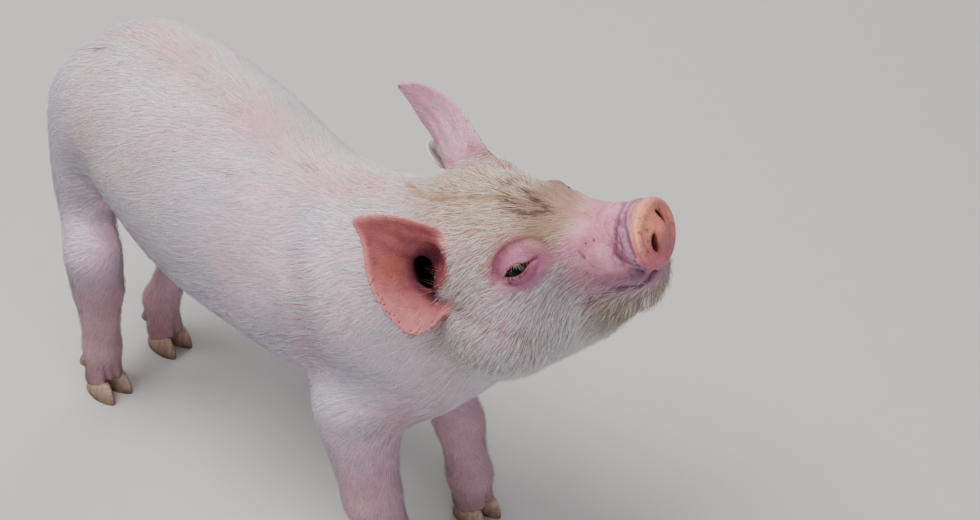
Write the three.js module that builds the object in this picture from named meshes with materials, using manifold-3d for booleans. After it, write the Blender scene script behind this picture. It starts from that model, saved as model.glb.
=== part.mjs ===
// A young white pig, about three weeks old, standing square with its head raised and tilted.
// Millimetres. +X points to the head, +Y to the animal's left, +Z up, and the ground is z = 0.
//
// The flesh is one distance field, a smooth union of named masses: negative inside, zero on the
// outline of the coat. Each piece is meshed from that field at its own cell size and then cut
// along planes, so that neighbours part with a thin, even gap.

import * as THREE from "three";
import { mergeVertices } from "three/addons/utils/BufferGeometryUtils.js";
import Module from "manifold-3d";

const wasm = await Module();
wasm.setup();

// ---------------------------------------------------------------- driving dimensions

const GAP = 0.4; // parting gap between neighbouring pieces
const CELL = { trunk: 17, neck: 14, leg: 10, head: 9, snout: 6 }; // mesh cell of each piece
const BOX = {
  trunk: { min: [-200, -90, 60], max: [190, 90, 320] },
  neck: { min: [60, -90, 130], max: [220, 100, 330] },
  head: { min: [105, -90, 170], max: [275, 110, 350] },
  snout: { min: [215, -30, 255], max: [275, 80, 350] },
};

// Masses of the trunk on the midline: centre, radii, and how softly each one blends in.
const TRUNK = {
  croup: { at: [-102, 0, 234.5], radii: [59, 51.5, 57.5], blend: 1 },
  loin: { at: [-58, 0, 228], radii: [76.5, 53, 61], blend: 30 },
  belly: { at: [-10.5, 0, 193.5], radii: [97.5, 61, 64.5], blend: 40 },
  ribs: { at: [57, 0, 190.5], radii: [66, 50, 63], blend: 40 },
};

// Masses in pairs, given for the left side.
const PAIRED = {
  ham: { at: [-143, 28, 188], radii: [20.5, 21.5, 74], blend: 25 },
  breast: { at: [116, 17, 187], radii: [43.5, 29, 56.5], blend: 25 },
};

// Each leg as joints from top to foot: x, y, z and radius.
const LEGS = {
  hind_right: [[-121, -45, 138, 18], [-136, -31, 90.5, 15.6], [-135, -33, 40, 11.6], [-136, -33, 14, 13.2]],
  hind_left: [[-118, 36, 139, 20], [-125, 37, 87, 13.4], [-141, 27.5, 40, 11.6], [-139, 27.5, 14, 13.2]],
  fore_right: [[97.5, -36.5, 137, 26], [117, -42, 76, 16.8], [129, -36, 38, 14], [130, -38, 14, 14]],
  fore_left: [[94, 37, 138, 20], [115.5, 42, 79, 15.1], [126, 43, 38, 14], [127.5, 46, 14, 14]],
};
const LEG_BLEND = { joint: 8, body: 24 };
const HEEL = { back: 7, up: 7, radius: 9.5, blend: 9 }; // point of the hock, measured from its joint

// The head's own frame has its origin at the middle of the snout disc, x forward, z up.
const HEAD = { disc: [248.2, 29.2, 311.5], yaw: 11.6, pitch: 31.7, roll: 9.8, blend: 22 };
const CRANIUM = { at: [-108.5, 0, -0.5], radii: [43.5, 39.5, 40] };
const FOREHEAD = { at: [-81.5, 0, 14.5], radii: [39, 26.5, 25], blend: 20 };
const MUZZLE = { from: [-73.5, 0, 2], to: [-12, 0, 1], radii: [26, 17.7], blend: 24 };
const JAW = { from: [-85, 0, -32], to: [-31, 0, -31], radii: [26.5, 15.4], blend: 12 };
const CHEEK = { at: [-102.5, 33, -22], radii: [31.5, 29, 30.5], blend: 22 };
const DISC = { halfWidth: 21, halfHeight: 17.2, thickness: 10, roundness: 4, blend: 6 };
const EAR_ROOT = { at: [-112, 35, 27], radii: [17, 13, 17], blend: 14 };

// The neck runs from the withers and the breast to the back of the head.
const NECK = { from: [90, 0, 211], to: [-108, 0, 0], radii: [50, 40] };
const CREST = { from: [75, 0, 217], to: [-118, 0, 22], radii: [36, 28], blend: 30 };
const THROAT = { from: [138, 11, 186], to: [-74, 2, -36], radii: [28, 23], blend: 24 };
const NECK_BLEND = 30;

const NOSTRIL = { side: 8.2, up: 1.5, radii: [9, 2.4, 4.6], lean: 22, facets: [7, 5] };
const EYE = { at: [-67.2, 32.7, 14.9], radius: 9.3, depth: 7.2, facets: [10, 7] }; // at: on the left side's surface

// The ear is a cupped leaf. Its outline is in the leaf's plane: along its length, across its width.
const EAR_OUTLINE = [
  [53, 0], [43, 9], [31, 24], [15, 34], [-3, 38], [-14, 29], [-16, 10],
  [-13, -12], [-1, -25], [13, -21.5], [26, -18.5], [41, -12],
];
const EAR_CUP = {
  halfWidth: 30, hollow: 9, hollowAt: [-2, 2], hollowSize: 14, bendFrom: 18, bendOver: 35, rollFrom: 14, rollEase: 6,
};
const EAR = { thickness: 2.8, rim: 1.7, middle: [16, 5], segments: 20, rings: [0.45, 0.8, 1] };
// The left ear is turned away and rolled along its rear edge. The right one lies open.
const EAR_LEFT = {
  at: [-120.5, 37.5, 43], along: [-0.43, 0.45, 0.78], facing: [0.249, 0.889, -0.384],
  size: 1.07, rise: 3.5, bend: 11.5, roll: 1.1, rear: 0.8,
};
const EAR_RIGHT = {
  at: [-110, -38, 30], along: [-0.53, -0.13, 0.83], facing: [0.5, -0.86, 0.13],
  size: 1, rise: 9, bend: 4, roll: 0, rear: 1,
};

// A blank round tag sits on the back of the left ear, near its rear edge, a little askew.
const TAG = {
  along: 17, across: 29, radius: 10.4, thickness: 1.5, hubRadius: 3, hubHeight: 2.5, lift: 2.4, tilt: -15, sides: 16,
};

// The tail hangs from the croup towards the left ham and turns up in an open curl.
const TAIL = {
  route: [[-146, 0, 252], [-160, 4, 247], [-168, 12, 234], [-167, 21, 219], [-166, 26, 206],
    [-172, 28, 199], [-179, 24, 203], [-178, 17, 210]],
  radii: [6.6, 2.2],
  sides: 8,
  steps: 13,
};

// Two main claws and two dewclaws on each foot.
const CLAW = {
  toe: 15.5, heel: 12.5, width: 12.4, taper: 0.35, splay: 5, crown: 10.5, crownSlope: 0.3, side: 6.9, sides: 12,
};
const FOOT_AHEAD = 3; // the middle of the foot lies this far ahead of the fetlock
const CLAW_LEVELS = [[0, 1, 0], [0.45, 1.02, -1.2], [1, 0.93, -3.6]]; // height, size, set-back of the toe
const DEWCLAW = { length: 10, radius: 4.1, up: 25, back: 9.5, side: 7.4, lean: 28 };

// Where the body is parted: a point on each plane and the way it faces.
const PLANES = {
  neckBase: { at: [112, 3, 225], facing: [0.833, 0.131, 0.537] },
  shoulder: { at: [46, 0, 200], facing: [1, 0, 0.08] },
  flank: { at: [-74, 0, 200], facing: [-1, 0, -0.05] },
};
const HEAD_BACK = -128; // the head's rear plane, in the head's frame
const SNOUT_BACK = -15;
const MOUTH = { corner: [-47, 0, -23.5], front: [-6, 0, -18] };
const FORELEG_CUT = { height: 140, at: 38, slope: 0.5, reach: [56, 170], knee: 80 };
const HINDLEG_CUT = { height: 160, at: 38, slope: 0.55, reach: [-185, -82], knee: 93 };

const COLOURS = {
  skin: 0xe6c4bc, muzzle: 0xd99a88, ear: 0xd98f86, leg: 0xdfb3aa, hoof: 0xb9a08c, eye: 0x1c1512, tag: 0xe8e2d2,
};

// ---------------------------------------------------------------- distances

const radians = THREE.MathUtils.degToRad;

function axesOf({ yaw, pitch, roll }) {
  const forward = new THREE.Vector3(
    Math.cos(radians(pitch)) * Math.cos(radians(yaw)),
    Math.cos(radians(pitch)) * Math.sin(radians(yaw)),
    Math.sin(radians(pitch)),
  );
  const level = new THREE.Vector3(-Math.sin(radians(yaw)), Math.cos(radians(yaw)), 0);
  const upright = new THREE.Vector3().crossVectors(forward, level);
  const left = level.clone().multiplyScalar(Math.cos(radians(roll)));
  left.addScaledVector(upright, Math.sin(radians(roll)));
  return { forward, left, up: new THREE.Vector3().crossVectors(forward, left) };
}

const headAxes = axesOf(HEAD);
const headMatrix = new THREE.Matrix4().makeBasis(headAxes.forward, headAxes.left, headAxes.up);
headMatrix.setPosition(...HEAD.disc);
const headInverse = headMatrix.clone().invert();

const moved = (matrix, point) => new THREE.Vector3(...point).applyMatrix4(matrix).toArray();
const fromHead = (point) => moved(headMatrix, point);
const toHead = (point) => moved(headInverse, point);
const mirrored = ([x, y, z]) => [x, -y, z];

function smoothUnion(a, b, blend) {
  const h = Math.max(blend - Math.abs(a - b), 0) / blend;
  return Math.min(a, b) - (h * h * blend) / 4;
}

function ellipsoid([x, y, z], { at, radii }) {
  const [u, v, w] = [(x - at[0]) / radii[0], (y - at[1]) / radii[1], (z - at[2]) / radii[2]];
  const k = Math.hypot(u, v, w);
  return (k * (k - 1)) / (Math.hypot(u / radii[0], v / radii[1], w / radii[2]) + 1e-9);
}

function cone(p, from, to, r0, r1) {
  const d = [to[0] - from[0], to[1] - from[1], to[2] - from[2]];
  const q = [p[0] - from[0], p[1] - from[1], p[2] - from[2]];
  const along = (q[0] * d[0] + q[1] * d[1] + q[2] * d[2]) / (d[0] ** 2 + d[1] ** 2 + d[2] ** 2);
  const t = THREE.MathUtils.clamp(along, 0, 1);
  return Math.hypot(q[0] - t * d[0], q[1] - t * d[1], q[2] - t * d[2]) - (r0 + t * (r1 - r0));
}

function discDistance([x, y, z]) {
  const meanRadius = (DISC.halfWidth + DISC.halfHeight) / 2;
  const rim = (Math.hypot(y / DISC.halfWidth, z / DISC.halfHeight) - 1) * meanRadius;
  const face = Math.abs(x + DISC.thickness / 2) - DISC.thickness / 2;
  return -smoothUnion(-rim, -face, DISC.roundness);
}

function headDistance(p) {
  const q = toHead(p);
  const pair = [q, mirrored(q)];
  let d = ellipsoid(q, CRANIUM);
  d = smoothUnion(d, ellipsoid(q, FOREHEAD), FOREHEAD.blend);
  d = smoothUnion(d, cone(q, MUZZLE.from, MUZZLE.to, ...MUZZLE.radii), MUZZLE.blend);
  d = smoothUnion(d, cone(q, JAW.from, JAW.to, ...JAW.radii), JAW.blend);
  for (const side of pair) {
    d = smoothUnion(d, ellipsoid(side, CHEEK), CHEEK.blend);
    d = smoothUnion(d, ellipsoid(side, EAR_ROOT), EAR_ROOT.blend);
  }
  return smoothUnion(d, discDistance(q), DISC.blend);
}

function legDistance(p, name) {
  const joints = LEGS[name];
  let d = Infinity;
  for (let i = 0; i + 1 < joints.length; i += 1) {
    const [a, b] = [joints[i], joints[i + 1]];
    const bone = cone(p, a.slice(0, 3), b.slice(0, 3), a[3], b[3]);
    d = d === Infinity ? bone : smoothUnion(d, bone, LEG_BLEND.joint);
  }
  if (name.startsWith("hind")) {
    const [x, y, z] = joints[1];
    const heel = Math.hypot(p[0] - x + HEEL.back, p[1] - y, p[2] - z - HEEL.up) - HEEL.radius;
    d = smoothUnion(d, heel, HEEL.blend);
  }
  return d;
}

function neckDistance(p) {
  const middle = cone(p, NECK.from, fromHead(NECK.to), ...NECK.radii);
  const crest = cone(p, CREST.from, fromHead(CREST.to), ...CREST.radii);
  const throat = cone(p, THROAT.from, fromHead(THROAT.to), ...THROAT.radii);
  return smoothUnion(smoothUnion(middle, crest, CREST.blend), throat, THROAT.blend);
}

function bodyDistance(p) {
  let d = Infinity;
  for (const mass of Object.values(TRUNK)) {
    d = d === Infinity ? ellipsoid(p, mass) : smoothUnion(d, ellipsoid(p, mass), mass.blend);
  }
  for (const mass of Object.values(PAIRED)) {
    d = smoothUnion(d, ellipsoid(p, mass), mass.blend);
    d = smoothUnion(d, ellipsoid(mirrored(p), mass), mass.blend);
  }
  for (const name of Object.keys(LEGS)) {
    d = smoothUnion(d, legDistance(p, name), LEG_BLEND.body);
  }
  d = smoothUnion(d, neckDistance(p), NECK_BLEND);
  return smoothUnion(d, headDistance(p), HEAD.blend);
}

// ---------------------------------------------------------------- meshes and solids

function geometryOf(points, triangles) {
  const geometry = new THREE.BufferGeometry();
  geometry.setAttribute("position", new THREE.Float32BufferAttribute(points.flat(), 3));
  geometry.setIndex(triangles.flat());
  return geometry;
}

function slopeAt(distance, p) {
  const step = 0.2;
  return [0, 1, 2].map((axis) => {
    const ahead = [...p];
    const behind = [...p];
    ahead[axis] += step;
    behind[axis] -= step;
    return (distance(ahead) - distance(behind)) / (2 * step);
  });
}

// Pulls a point onto the zero surface of a distance field.
function settled(distance, p) {
  let point = p;
  for (let turn = 0; turn < 2; turn += 1) {
    const d = distance(point);
    const slope = slopeAt(distance, point);
    const size = slope[0] ** 2 + slope[1] ** 2 + slope[2] ** 2 + 1e-6;
    point = point.map((value, axis) => value - (d * slope[axis]) / size);
  }
  return point;
}

// Naive surface nets: one point in each cell the surface passes through, joined in quads.
function surfaceNet(distance, box, cell) {
  const count = [0, 1, 2].map((axis) => Math.ceil((box.max[axis] - box.min[axis]) / cell) + 1);
  const at = (i, j, k) => [box.min[0] + i * cell, box.min[1] + j * cell, box.min[2] + k * cell];
  const slot = (i, j, k) => (i * count[1] + j) * count[2] + k;
  const inBox = (p) => Math.max(...p.map((v, axis) => Math.max(box.min[axis] - v, v - box.max[axis])));
  const margin = cell * 1.01;
  const field = (p) => Math.max(distance(p), inBox(p) + margin);

  const value = new Float64Array(count[0] * count[1] * count[2]);
  for (let i = 0; i < count[0]; i += 1) {
    for (let j = 0; j < count[1]; j += 1) {
      for (let k = 0; k < count[2]; k += 1) {
        value[slot(i, j, k)] = field(at(i, j, k));
      }
    }
  }

  const points = [];
  const pointOf = new Map();
  const corners = [0, 1, 2, 3, 4, 5, 6, 7].map((c) => [c & 1, (c >> 1) & 1, (c >> 2) & 1]);
  for (let i = 0; i + 1 < count[0]; i += 1) {
    for (let j = 0; j + 1 < count[1]; j += 1) {
      for (let k = 0; k + 1 < count[2]; k += 1) {
        const sum = [0, 0, 0];
        let crossings = 0;
        for (const from of corners) {
          for (const axis of [0, 1, 2].filter((a) => from[a] === 0)) {
            const to = from.map((v, a) => (a === axis ? 1 : v));
            const v0 = value[slot(i + from[0], j + from[1], k + from[2])];
            const v1 = value[slot(i + to[0], j + to[1], k + to[2])];
            if (v0 < 0 !== v1 < 0) {
              const t = v0 / (v0 - v1);
              [0, 1, 2].forEach((a) => {
                sum[a] += a === axis ? t : from[a];
              });
              crossings += 1;
            }
          }
        }
        if (crossings > 0) {
          const p = at(...[i, j, k].map((v, a) => v + sum[a] / crossings));
          pointOf.set(slot(i, j, k), points.length);
          points.push(inBox(p) + margin > -0.5 * cell ? p : settled(distance, p));
        }
      }
    }
  }

  const triangles = [];
  const cellAt = (index, drop) => pointOf.get(slot(...index.map((v, a) => v - drop[a])));
  for (let i = 1; i < count[0]; i += 1) {
    for (let j = 1; j < count[1]; j += 1) {
      for (let k = 1; k < count[2]; k += 1) {
        for (const axis of [0, 1, 2]) {
          const here = [i, j, k];
          const next = here.map((v, a) => (a === axis ? v + 1 : v));
          if (next[axis] >= count[axis]) continue;
          const inside = value[slot(...here)] < 0;
          if (inside === value[slot(...next)] < 0) continue;
          const b = [0, 0, 0];
          const c = [0, 0, 0];
          b[(axis + 1) % 3] = 1;
          c[(axis + 2) % 3] = 1;
          const quad = [
            cellAt(here, [0, 0, 0]), cellAt(here, b), cellAt(here, b.map((v, a) => v + c[a])), cellAt(here, c),
          ];
          const [p, q, r, s] = inside ? quad : quad.reverse();
          triangles.push([p, q, r], [p, r, s]);
        }
      }
    }
  }
  return geometryOf(points, triangles);
}

function toSolid(geometry) {
  const bare = geometry.index ? geometry.clone() : geometry;
  bare.deleteAttribute("normal");
  bare.deleteAttribute("uv");
  const merged = mergeVertices(bare, 1e-4);
  return new wasm.Manifold(new wasm.Mesh({
    numProp: 3,
    vertProperties: new Float32Array(merged.attributes.position.array),
    triVerts: new Uint32Array(merged.index.array),
  }));
}

function toGeometry(solid) {
  const pieces = solid.decompose();
  const largest = pieces.reduce((best, piece) => (piece.volume() > best.volume() ? piece : best));
  const mesh = largest.getMesh();
  const geometry = new THREE.BufferGeometry();
  const flat = [];
  for (let v = 0; v < mesh.vertProperties.length; v += mesh.numProp) {
    flat.push(mesh.vertProperties[v], mesh.vertProperties[v + 1], mesh.vertProperties[v + 2]);
  }
  geometry.setAttribute("position", new THREE.Float32BufferAttribute(flat, 3));
  geometry.setIndex(Array.from(mesh.triVerts));
  return geometry;
}

const FAR = 600; // size of a cutting block, larger than any piece

// A block whose one face lies on a plane and which fills the side the plane faces.
function halfSpace({ at, facing }, shift = 0) {
  const block = new THREE.BoxGeometry(FAR, FAR, FAR);
  const normal = new THREE.Vector3(...facing).normalize();
  const turn = new THREE.Quaternion().setFromUnitVectors(new THREE.Vector3(0, 0, 1), normal);
  block.translate(0, 0, FAR / 2 + shift);
  block.applyQuaternion(turn);
  block.translate(...at);
  return toSolid(block);
}

const facingBack = ({ at, facing }) => ({ at, facing: facing.map((v) => -v) });
const beyond = (solid, plane) => solid.subtract(halfSpace(facingBack(plane), -GAP / 2));
const before = (solid, plane) => solid.subtract(halfSpace(plane, -GAP / 2));

// Rings of points joined into one closed body, the first and last ring filled in.
function loft(rings) {
  const points = rings.flat();
  const sides = rings[0].length;
  const triangles = [];
  for (let ring = 0; ring + 1 < rings.length; ring += 1) {
    for (let i = 0; i < sides; i += 1) {
      const a = ring * sides + i;
      const b = ring * sides + ((i + 1) % sides);
      triangles.push([a, b, b + sides], [a, b + sides, a + sides]);
    }
  }
  const middle = (ring) => [0, 1, 2].map((axis) => ring.reduce((sum, p) => sum + p[axis], 0) / sides);
  const first = points.push(middle(rings[0])) - 1;
  const last = points.push(middle(rings[rings.length - 1])) - 1;
  const top = (rings.length - 1) * sides;
  for (let i = 0; i < sides; i += 1) {
    const j = (i + 1) % sides;
    triangles.push([first, j, i], [last, top + i, top + j]);
  }
  return geometryOf(points, triangles);
}

// ---------------------------------------------------------------- pieces of flesh

function meshedFlesh(box, cell, grow = 0) {
  return toSolid(surfaceNet((p) => bodyDistance(p) - grow, box, cell));
}

// A leg's cutting block, from the ground up to a plane that rises outwards over the limb.
function legBlock(cut, side, grow) {
  const [x0, x1] = cut.reach;
  const block = new THREE.BoxGeometry(x1 - x0 + 2 * grow, FAR, FAR);
  block.translate((x0 + x1) / 2, side * (FAR / 2 + GAP / 2 - grow), 0);
  const top = { at: [0, side * cut.at, cut.height + grow], facing: [0, -side * cut.slope, 1] };
  return toSolid(block).subtract(halfSpace(top));
}

function makeTrunk() {
  let trunk = meshedFlesh(BOX.trunk, CELL.trunk);
  for (const side of [1, -1]) {
    trunk = trunk.subtract(legBlock(FORELEG_CUT, side, GAP));
    trunk = trunk.subtract(legBlock(HINDLEG_CUT, side, GAP));
  }
  trunk = before(trunk, PLANES.neckBase);
  return {
    shoulders: beyond(trunk, PLANES.shoulder),
    barrel: before(before(trunk, PLANES.shoulder), PLANES.flank),
    hindquarters: beyond(trunk, PLANES.flank),
  };
}

function makeNeck() {
  const neck = meshedFlesh(BOX.neck, CELL.neck);
  const headPlane = { at: fromHead([HEAD_BACK, 0, 0]), facing: headAxes.forward.toArray() };
  return before(beyond(neck, PLANES.neckBase), headPlane);
}

function eyeCentre(side) {
  const surface = settled(bodyDistance, fromHead([EYE.at[0], side * EYE.at[1], EYE.at[2]]));
  const inward = new THREE.Vector3(...slopeAt(bodyDistance, surface)).normalize().multiplyScalar(-EYE.depth);
  return new THREE.Vector3(...surface).add(inward);
}

function eyeball(side, grow = 0) {
  const ball = new THREE.SphereGeometry(EYE.radius + grow, ...EYE.facets);
  ball.translate(...eyeCentre(side).toArray());
  return ball;
}

function nostril(side) {
  const hole = new THREE.SphereGeometry(1, ...NOSTRIL.facets);
  hole.scale(...NOSTRIL.radii);
  hole.rotateX(radians(side * NOSTRIL.lean));
  hole.translate(0, side * NOSTRIL.side, NOSTRIL.up);
  return toSolid(hole.applyMatrix4(headMatrix));
}

function makeHead() {
  const headPlane = { at: fromHead([HEAD_BACK, 0, 0]), facing: headAxes.forward.toArray() };
  const snoutPlane = { at: fromHead([SNOUT_BACK, 0, 0]), facing: headAxes.forward.toArray() };
  const [corner, front] = [MOUTH.corner, MOUTH.front].map((p) => new THREE.Vector3(...fromHead(p)));
  const lip = front.clone().sub(corner).cross(headAxes.left).negate().normalize();
  const mouthPlane = { at: corner.toArray(), facing: lip.toArray() };
  const cornerPlane = { at: corner.toArray(), facing: headAxes.forward.toArray() };

  const whole = beyond(meshedFlesh(BOX.head, CELL.head), headPlane);
  const jawBlock = halfSpace(mouthPlane).intersect(halfSpace(cornerPlane));
  const grownJawBlock = halfSpace(mouthPlane, -GAP).intersect(halfSpace(cornerPlane, -GAP));
  let skull = before(whole.subtract(grownJawBlock), snoutPlane);
  for (const side of [1, -1]) {
    skull = skull.subtract(toSolid(eyeball(side, GAP)));
  }
  const fine = meshedFlesh(BOX.snout, CELL.snout);
  let snout = beyond(fine, snoutPlane).subtract(grownJawBlock);
  for (const side of [1, -1]) {
    snout = snout.subtract(nostril(side));
  }
  return { head: skull, lower_jaw: whole.intersect(jawBlock), snout };
}

function ringAlong(curve, t, radius, sides) {
  const centre = curve.getPoint(t);
  const ahead = curve.getTangent(t);
  const right = new THREE.Vector3().crossVectors(ahead, new THREE.Vector3(0.3, 1, 0.2)).normalize();
  const over = new THREE.Vector3().crossVectors(ahead, right);
  return Array.from({ length: sides }, (_, i) => {
    const angle = (2 * Math.PI * i) / sides;
    const p = centre.clone().addScaledVector(right, radius * Math.cos(angle));
    return p.addScaledVector(over, radius * Math.sin(angle)).toArray();
  });
}

function makeTail() {
  const curve = new THREE.CatmullRomCurve3(TAIL.route.map((p) => new THREE.Vector3(...p)));
  const rings = [];
  for (let i = 0; i <= TAIL.steps; i += 1) {
    const t = i / TAIL.steps;
    const radius = THREE.MathUtils.lerp(...TAIL.radii, t ** 0.8);
    rings.push(ringAlong(curve, t, radius, TAIL.sides));
  }
  return toSolid(loft(rings)).subtract(meshedFlesh(BOX.trunk, CELL.trunk, GAP));
}

// ---------------------------------------------------------------- ears and tag

// Height of the leaf over its plane: raised towards the rims, hollow at the canal, tip bent away,
// and the rear edge rolled over.
function earHeight(ear, along, across) {
  const rims = ear.rise * (across / EAR_CUP.halfWidth) ** 2;
  const [u, v] = [along - EAR_CUP.hollowAt[0], across - EAR_CUP.hollowAt[1]];
  const hollow = EAR_CUP.hollow * Math.exp(-(u * u + v * v) / (2 * EAR_CUP.hollowSize ** 2));
  const past = Math.max(0, along - EAR_CUP.bendFrom) / EAR_CUP.bendOver;
  const overRoll = across - EAR_CUP.rollFrom;
  const rolled = (ear.roll * (overRoll + Math.hypot(overRoll, EAR_CUP.rollEase))) / 2;
  return rims - hollow - ear.bend * past * past + rolled;
}

// A point of the leaf's middle surface in the leaf's own frame. A rolled rear half is narrower.
function leafPoint(ear, along, across, lift = 0) {
  const width = across > 0 ? across * ear.rear : across;
  return [along * ear.size, width * ear.size, earHeight(ear, along, width) + lift];
}

function earFrame(ear) {
  const along = new THREE.Vector3(...ear.along).normalize();
  const facing = new THREE.Vector3(...ear.facing);
  facing.addScaledVector(along, -facing.dot(along)).normalize();
  const side = Math.sign(ear.at[1]);
  const across = new THREE.Vector3().crossVectors(along, facing).multiplyScalar(side);
  const frame = new THREE.Matrix4().makeBasis(along, across, facing).setPosition(...ear.at);
  return { frame: headMatrix.clone().multiply(frame), side };
}

function makeEar(ear) {
  const outline = new THREE.CatmullRomCurve3(EAR_OUTLINE.map(([u, v]) => new THREE.Vector3(u, v, 0)), true);
  const { frame, side } = earFrame(ear);
  const [mu, mv] = EAR.middle;
  const faces = [1, -1];
  const sheet = (reach, i, face) => {
    const edge = outline.getPoint(i / EAR.segments);
    const [u, v] = [mu + reach * (edge.x - mu), mv + reach * (edge.y - mv)];
    const half = THREE.MathUtils.lerp(EAR.thickness, EAR.rim, reach ** 2) / 2;
    return leafPoint(ear, u, v, face * half);
  };
  const points = [];
  const triangles = [];
  for (const face of faces) {
    const start = points.length;
    points.push(sheet(0, 0, face));
    EAR.rings.forEach((reach, ring) => {
      for (let i = 0; i < EAR.segments; i += 1) {
        const j = (i + 1) % EAR.segments;
        points.push(sheet(reach, i, face));
        const [a, b] = [start + 1 + ring * EAR.segments + i, start + 1 + ring * EAR.segments + j];
        const inner = ring === 0 ? [[start, a, b]] : [
          [a - EAR.segments, a, b], [a - EAR.segments, b, b - EAR.segments],
        ];
        triangles.push(...inner.map((t) => (face > 0 ? t : [t[0], t[2], t[1]])));
      }
    });
  }
  const onFace = points.length / 2;
  const rim = onFace - EAR.segments;
  for (let i = 0; i < EAR.segments; i += 1) {
    const j = (i + 1) % EAR.segments;
    triangles.push([rim + j, rim + i, onFace + rim + i], [rim + j, onFace + rim + i, onFace + rim + j]);
  }
  const leaf = geometryOf(points, triangles.map((t) => (side > 0 ? [t[0], t[2], t[1]] : t)));
  const whole = toSolid(leaf.applyMatrix4(frame));
  return whole.subtract(meshedFlesh(BOX.head, CELL.head, GAP)).subtract(meshedFlesh(BOX.neck, CELL.neck, 2 * GAP));
}

function makeTag() {
  const { frame } = earFrame(EAR_LEFT);
  const profile = [
    [0, -TAG.hubHeight], [TAG.hubRadius, -TAG.hubHeight], [TAG.hubRadius, 0],
    [TAG.radius, 0], [TAG.radius, TAG.thickness], [0, TAG.thickness],
  ];
  const disc = new THREE.LatheGeometry(profile.map(([r, h]) => new THREE.Vector2(r, h)), TAG.sides);
  const onEar = (along, across) => new THREE.Vector3(...leafPoint(EAR_LEFT, along, across)).applyMatrix4(frame);
  const pin = onEar(TAG.along, TAG.across);
  const upEar = onEar(TAG.along + 1, TAG.across).sub(pin).normalize();
  const overEar = onEar(TAG.along, TAG.across + 1).sub(pin);
  const outward = new THREE.Vector3().crossVectors(upEar, overEar).normalize();
  outward.applyAxisAngle(upEar, radians(TAG.tilt));
  disc.applyQuaternion(new THREE.Quaternion().setFromUnitVectors(new THREE.Vector3(0, 1, 0), outward));
  pin.addScaledVector(outward, TAG.lift + TAG.hubHeight);
  disc.translate(...pin.toArray());
  return toSolid(disc);
}

// ---------------------------------------------------------------- feet

function footOf(name) {
  const [x, y] = LEGS[name][3];
  return { x: x + FOOT_AHEAD, y };
}

function crownHeight(x) {
  return CLAW.crown + CLAW.crownSlope * x;
}

function crownPlane(name) {
  const foot = footOf(name);
  return { at: [foot.x, foot.y, CLAW.crown], facing: [-CLAW.crownSlope, 0, 1] };
}

// One claw: a flat sole, walls that lean back towards the crown, the toe drawn to a blunt point.
function makeClaw(name, side) {
  const foot = footOf(name);
  const half = (CLAW.toe + CLAW.heel) / 2;
  const rings = CLAW_LEVELS.map(([height, size, toeShift]) => Array.from({ length: CLAW.sides }, (_, i) => {
    const angle = (2 * Math.PI * i) / CLAW.sides;
    const ahead = (1 + Math.cos(angle)) / 2;
    const taper = 1 - CLAW.taper * ahead ** 3;
    const x = (CLAW.toe - CLAW.heel) / 2 + half * size * Math.cos(angle) + toeShift * ahead;
    const y = side * CLAW.side + (CLAW.width / 2) * size * taper * Math.sin(angle);
    const z = height * (crownHeight(x) - GAP);
    return [x, y, z];
  }));
  const claw = loft(rings);
  claw.rotateZ(radians(side * CLAW.splay));
  claw.translate(foot.x, foot.y, 0);
  return toSolid(claw).subtract(halfSpace(crownPlane(name), -GAP));
}

function dewclaw(name, side, grow = 0) {
  const { length, radius, up, back, lean } = DEWCLAW;
  const shape = [[0, length / 2], [0.9, length / 2], [0.8, -0.3 * length], [0, -length / 2]];
  const profile = shape.map(([r, h]) => new THREE.Vector2(r * radius + (r > 0 ? grow : 0), h * (1 + grow / 5)));
  const nail = new THREE.LatheGeometry(profile.reverse(), 6);
  nail.rotateX(Math.PI / 2);
  nail.rotateY(radians(lean));
  const foot = LEGS[name][3];
  nail.translate(foot[0] - back, foot[1] + side * DEWCLAW.side, up);
  return toSolid(nail);
}

function makeLeg(name) {
  const fore = name.startsWith("fore");
  const side = name.endsWith("left") ? 1 : -1;
  const cut = fore ? FORELEG_CUT : HINDLEG_CUT;
  const [x0, x1] = cut.reach;
  const box = { min: [x0 - 20, side > 0 ? -12 : -85, -12], max: [x1 + 20, side > 0 ? 85 : 12, 205] };
  const limb = meshedFlesh(box, CELL.leg).intersect(legBlock(cut, side, 0));
  const knee = { at: [0, 0, cut.knee], facing: [0, 0, 1] };
  let lower = beyond(before(limb, knee), crownPlane(name));
  for (const toe of [1, -1]) {
    lower = lower.subtract(dewclaw(name, toe, GAP));
  }
  return { upper: beyond(limb, knee), lower };
}

// ---------------------------------------------------------------- the animal

const pig = new THREE.Group();

function place(name, solid, colour, roughness = 0.75) {
  const material = new THREE.MeshStandardMaterial({ color: colour, roughness, metalness: 0 });
  const mesh = new THREE.Mesh(toGeometry(solid), material);
  mesh.name = name;
  pig.add(mesh);
}

for (const [name, solid] of Object.entries(makeTrunk())) {
  place(name, solid, COLOURS.skin);
}
place("neck", makeNeck(), COLOURS.skin);
const { head, lower_jaw: lowerJaw, snout } = makeHead();
place("head", head, COLOURS.skin);
place("lower_jaw", lowerJaw, COLOURS.skin);
place("snout", snout, COLOURS.muzzle, 0.5);
place("tail", makeTail(), COLOURS.leg);
place("ear_left", makeEar(EAR_LEFT), COLOURS.ear);
place("ear_right", makeEar(EAR_RIGHT), COLOURS.ear);
place("ear_tag", makeTag(), COLOURS.tag, 0.4);
place("eye_left", toSolid(eyeball(1)), COLOURS.eye, 0.1);
place("eye_right", toSolid(eyeball(-1)), COLOURS.eye, 0.1);

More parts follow.
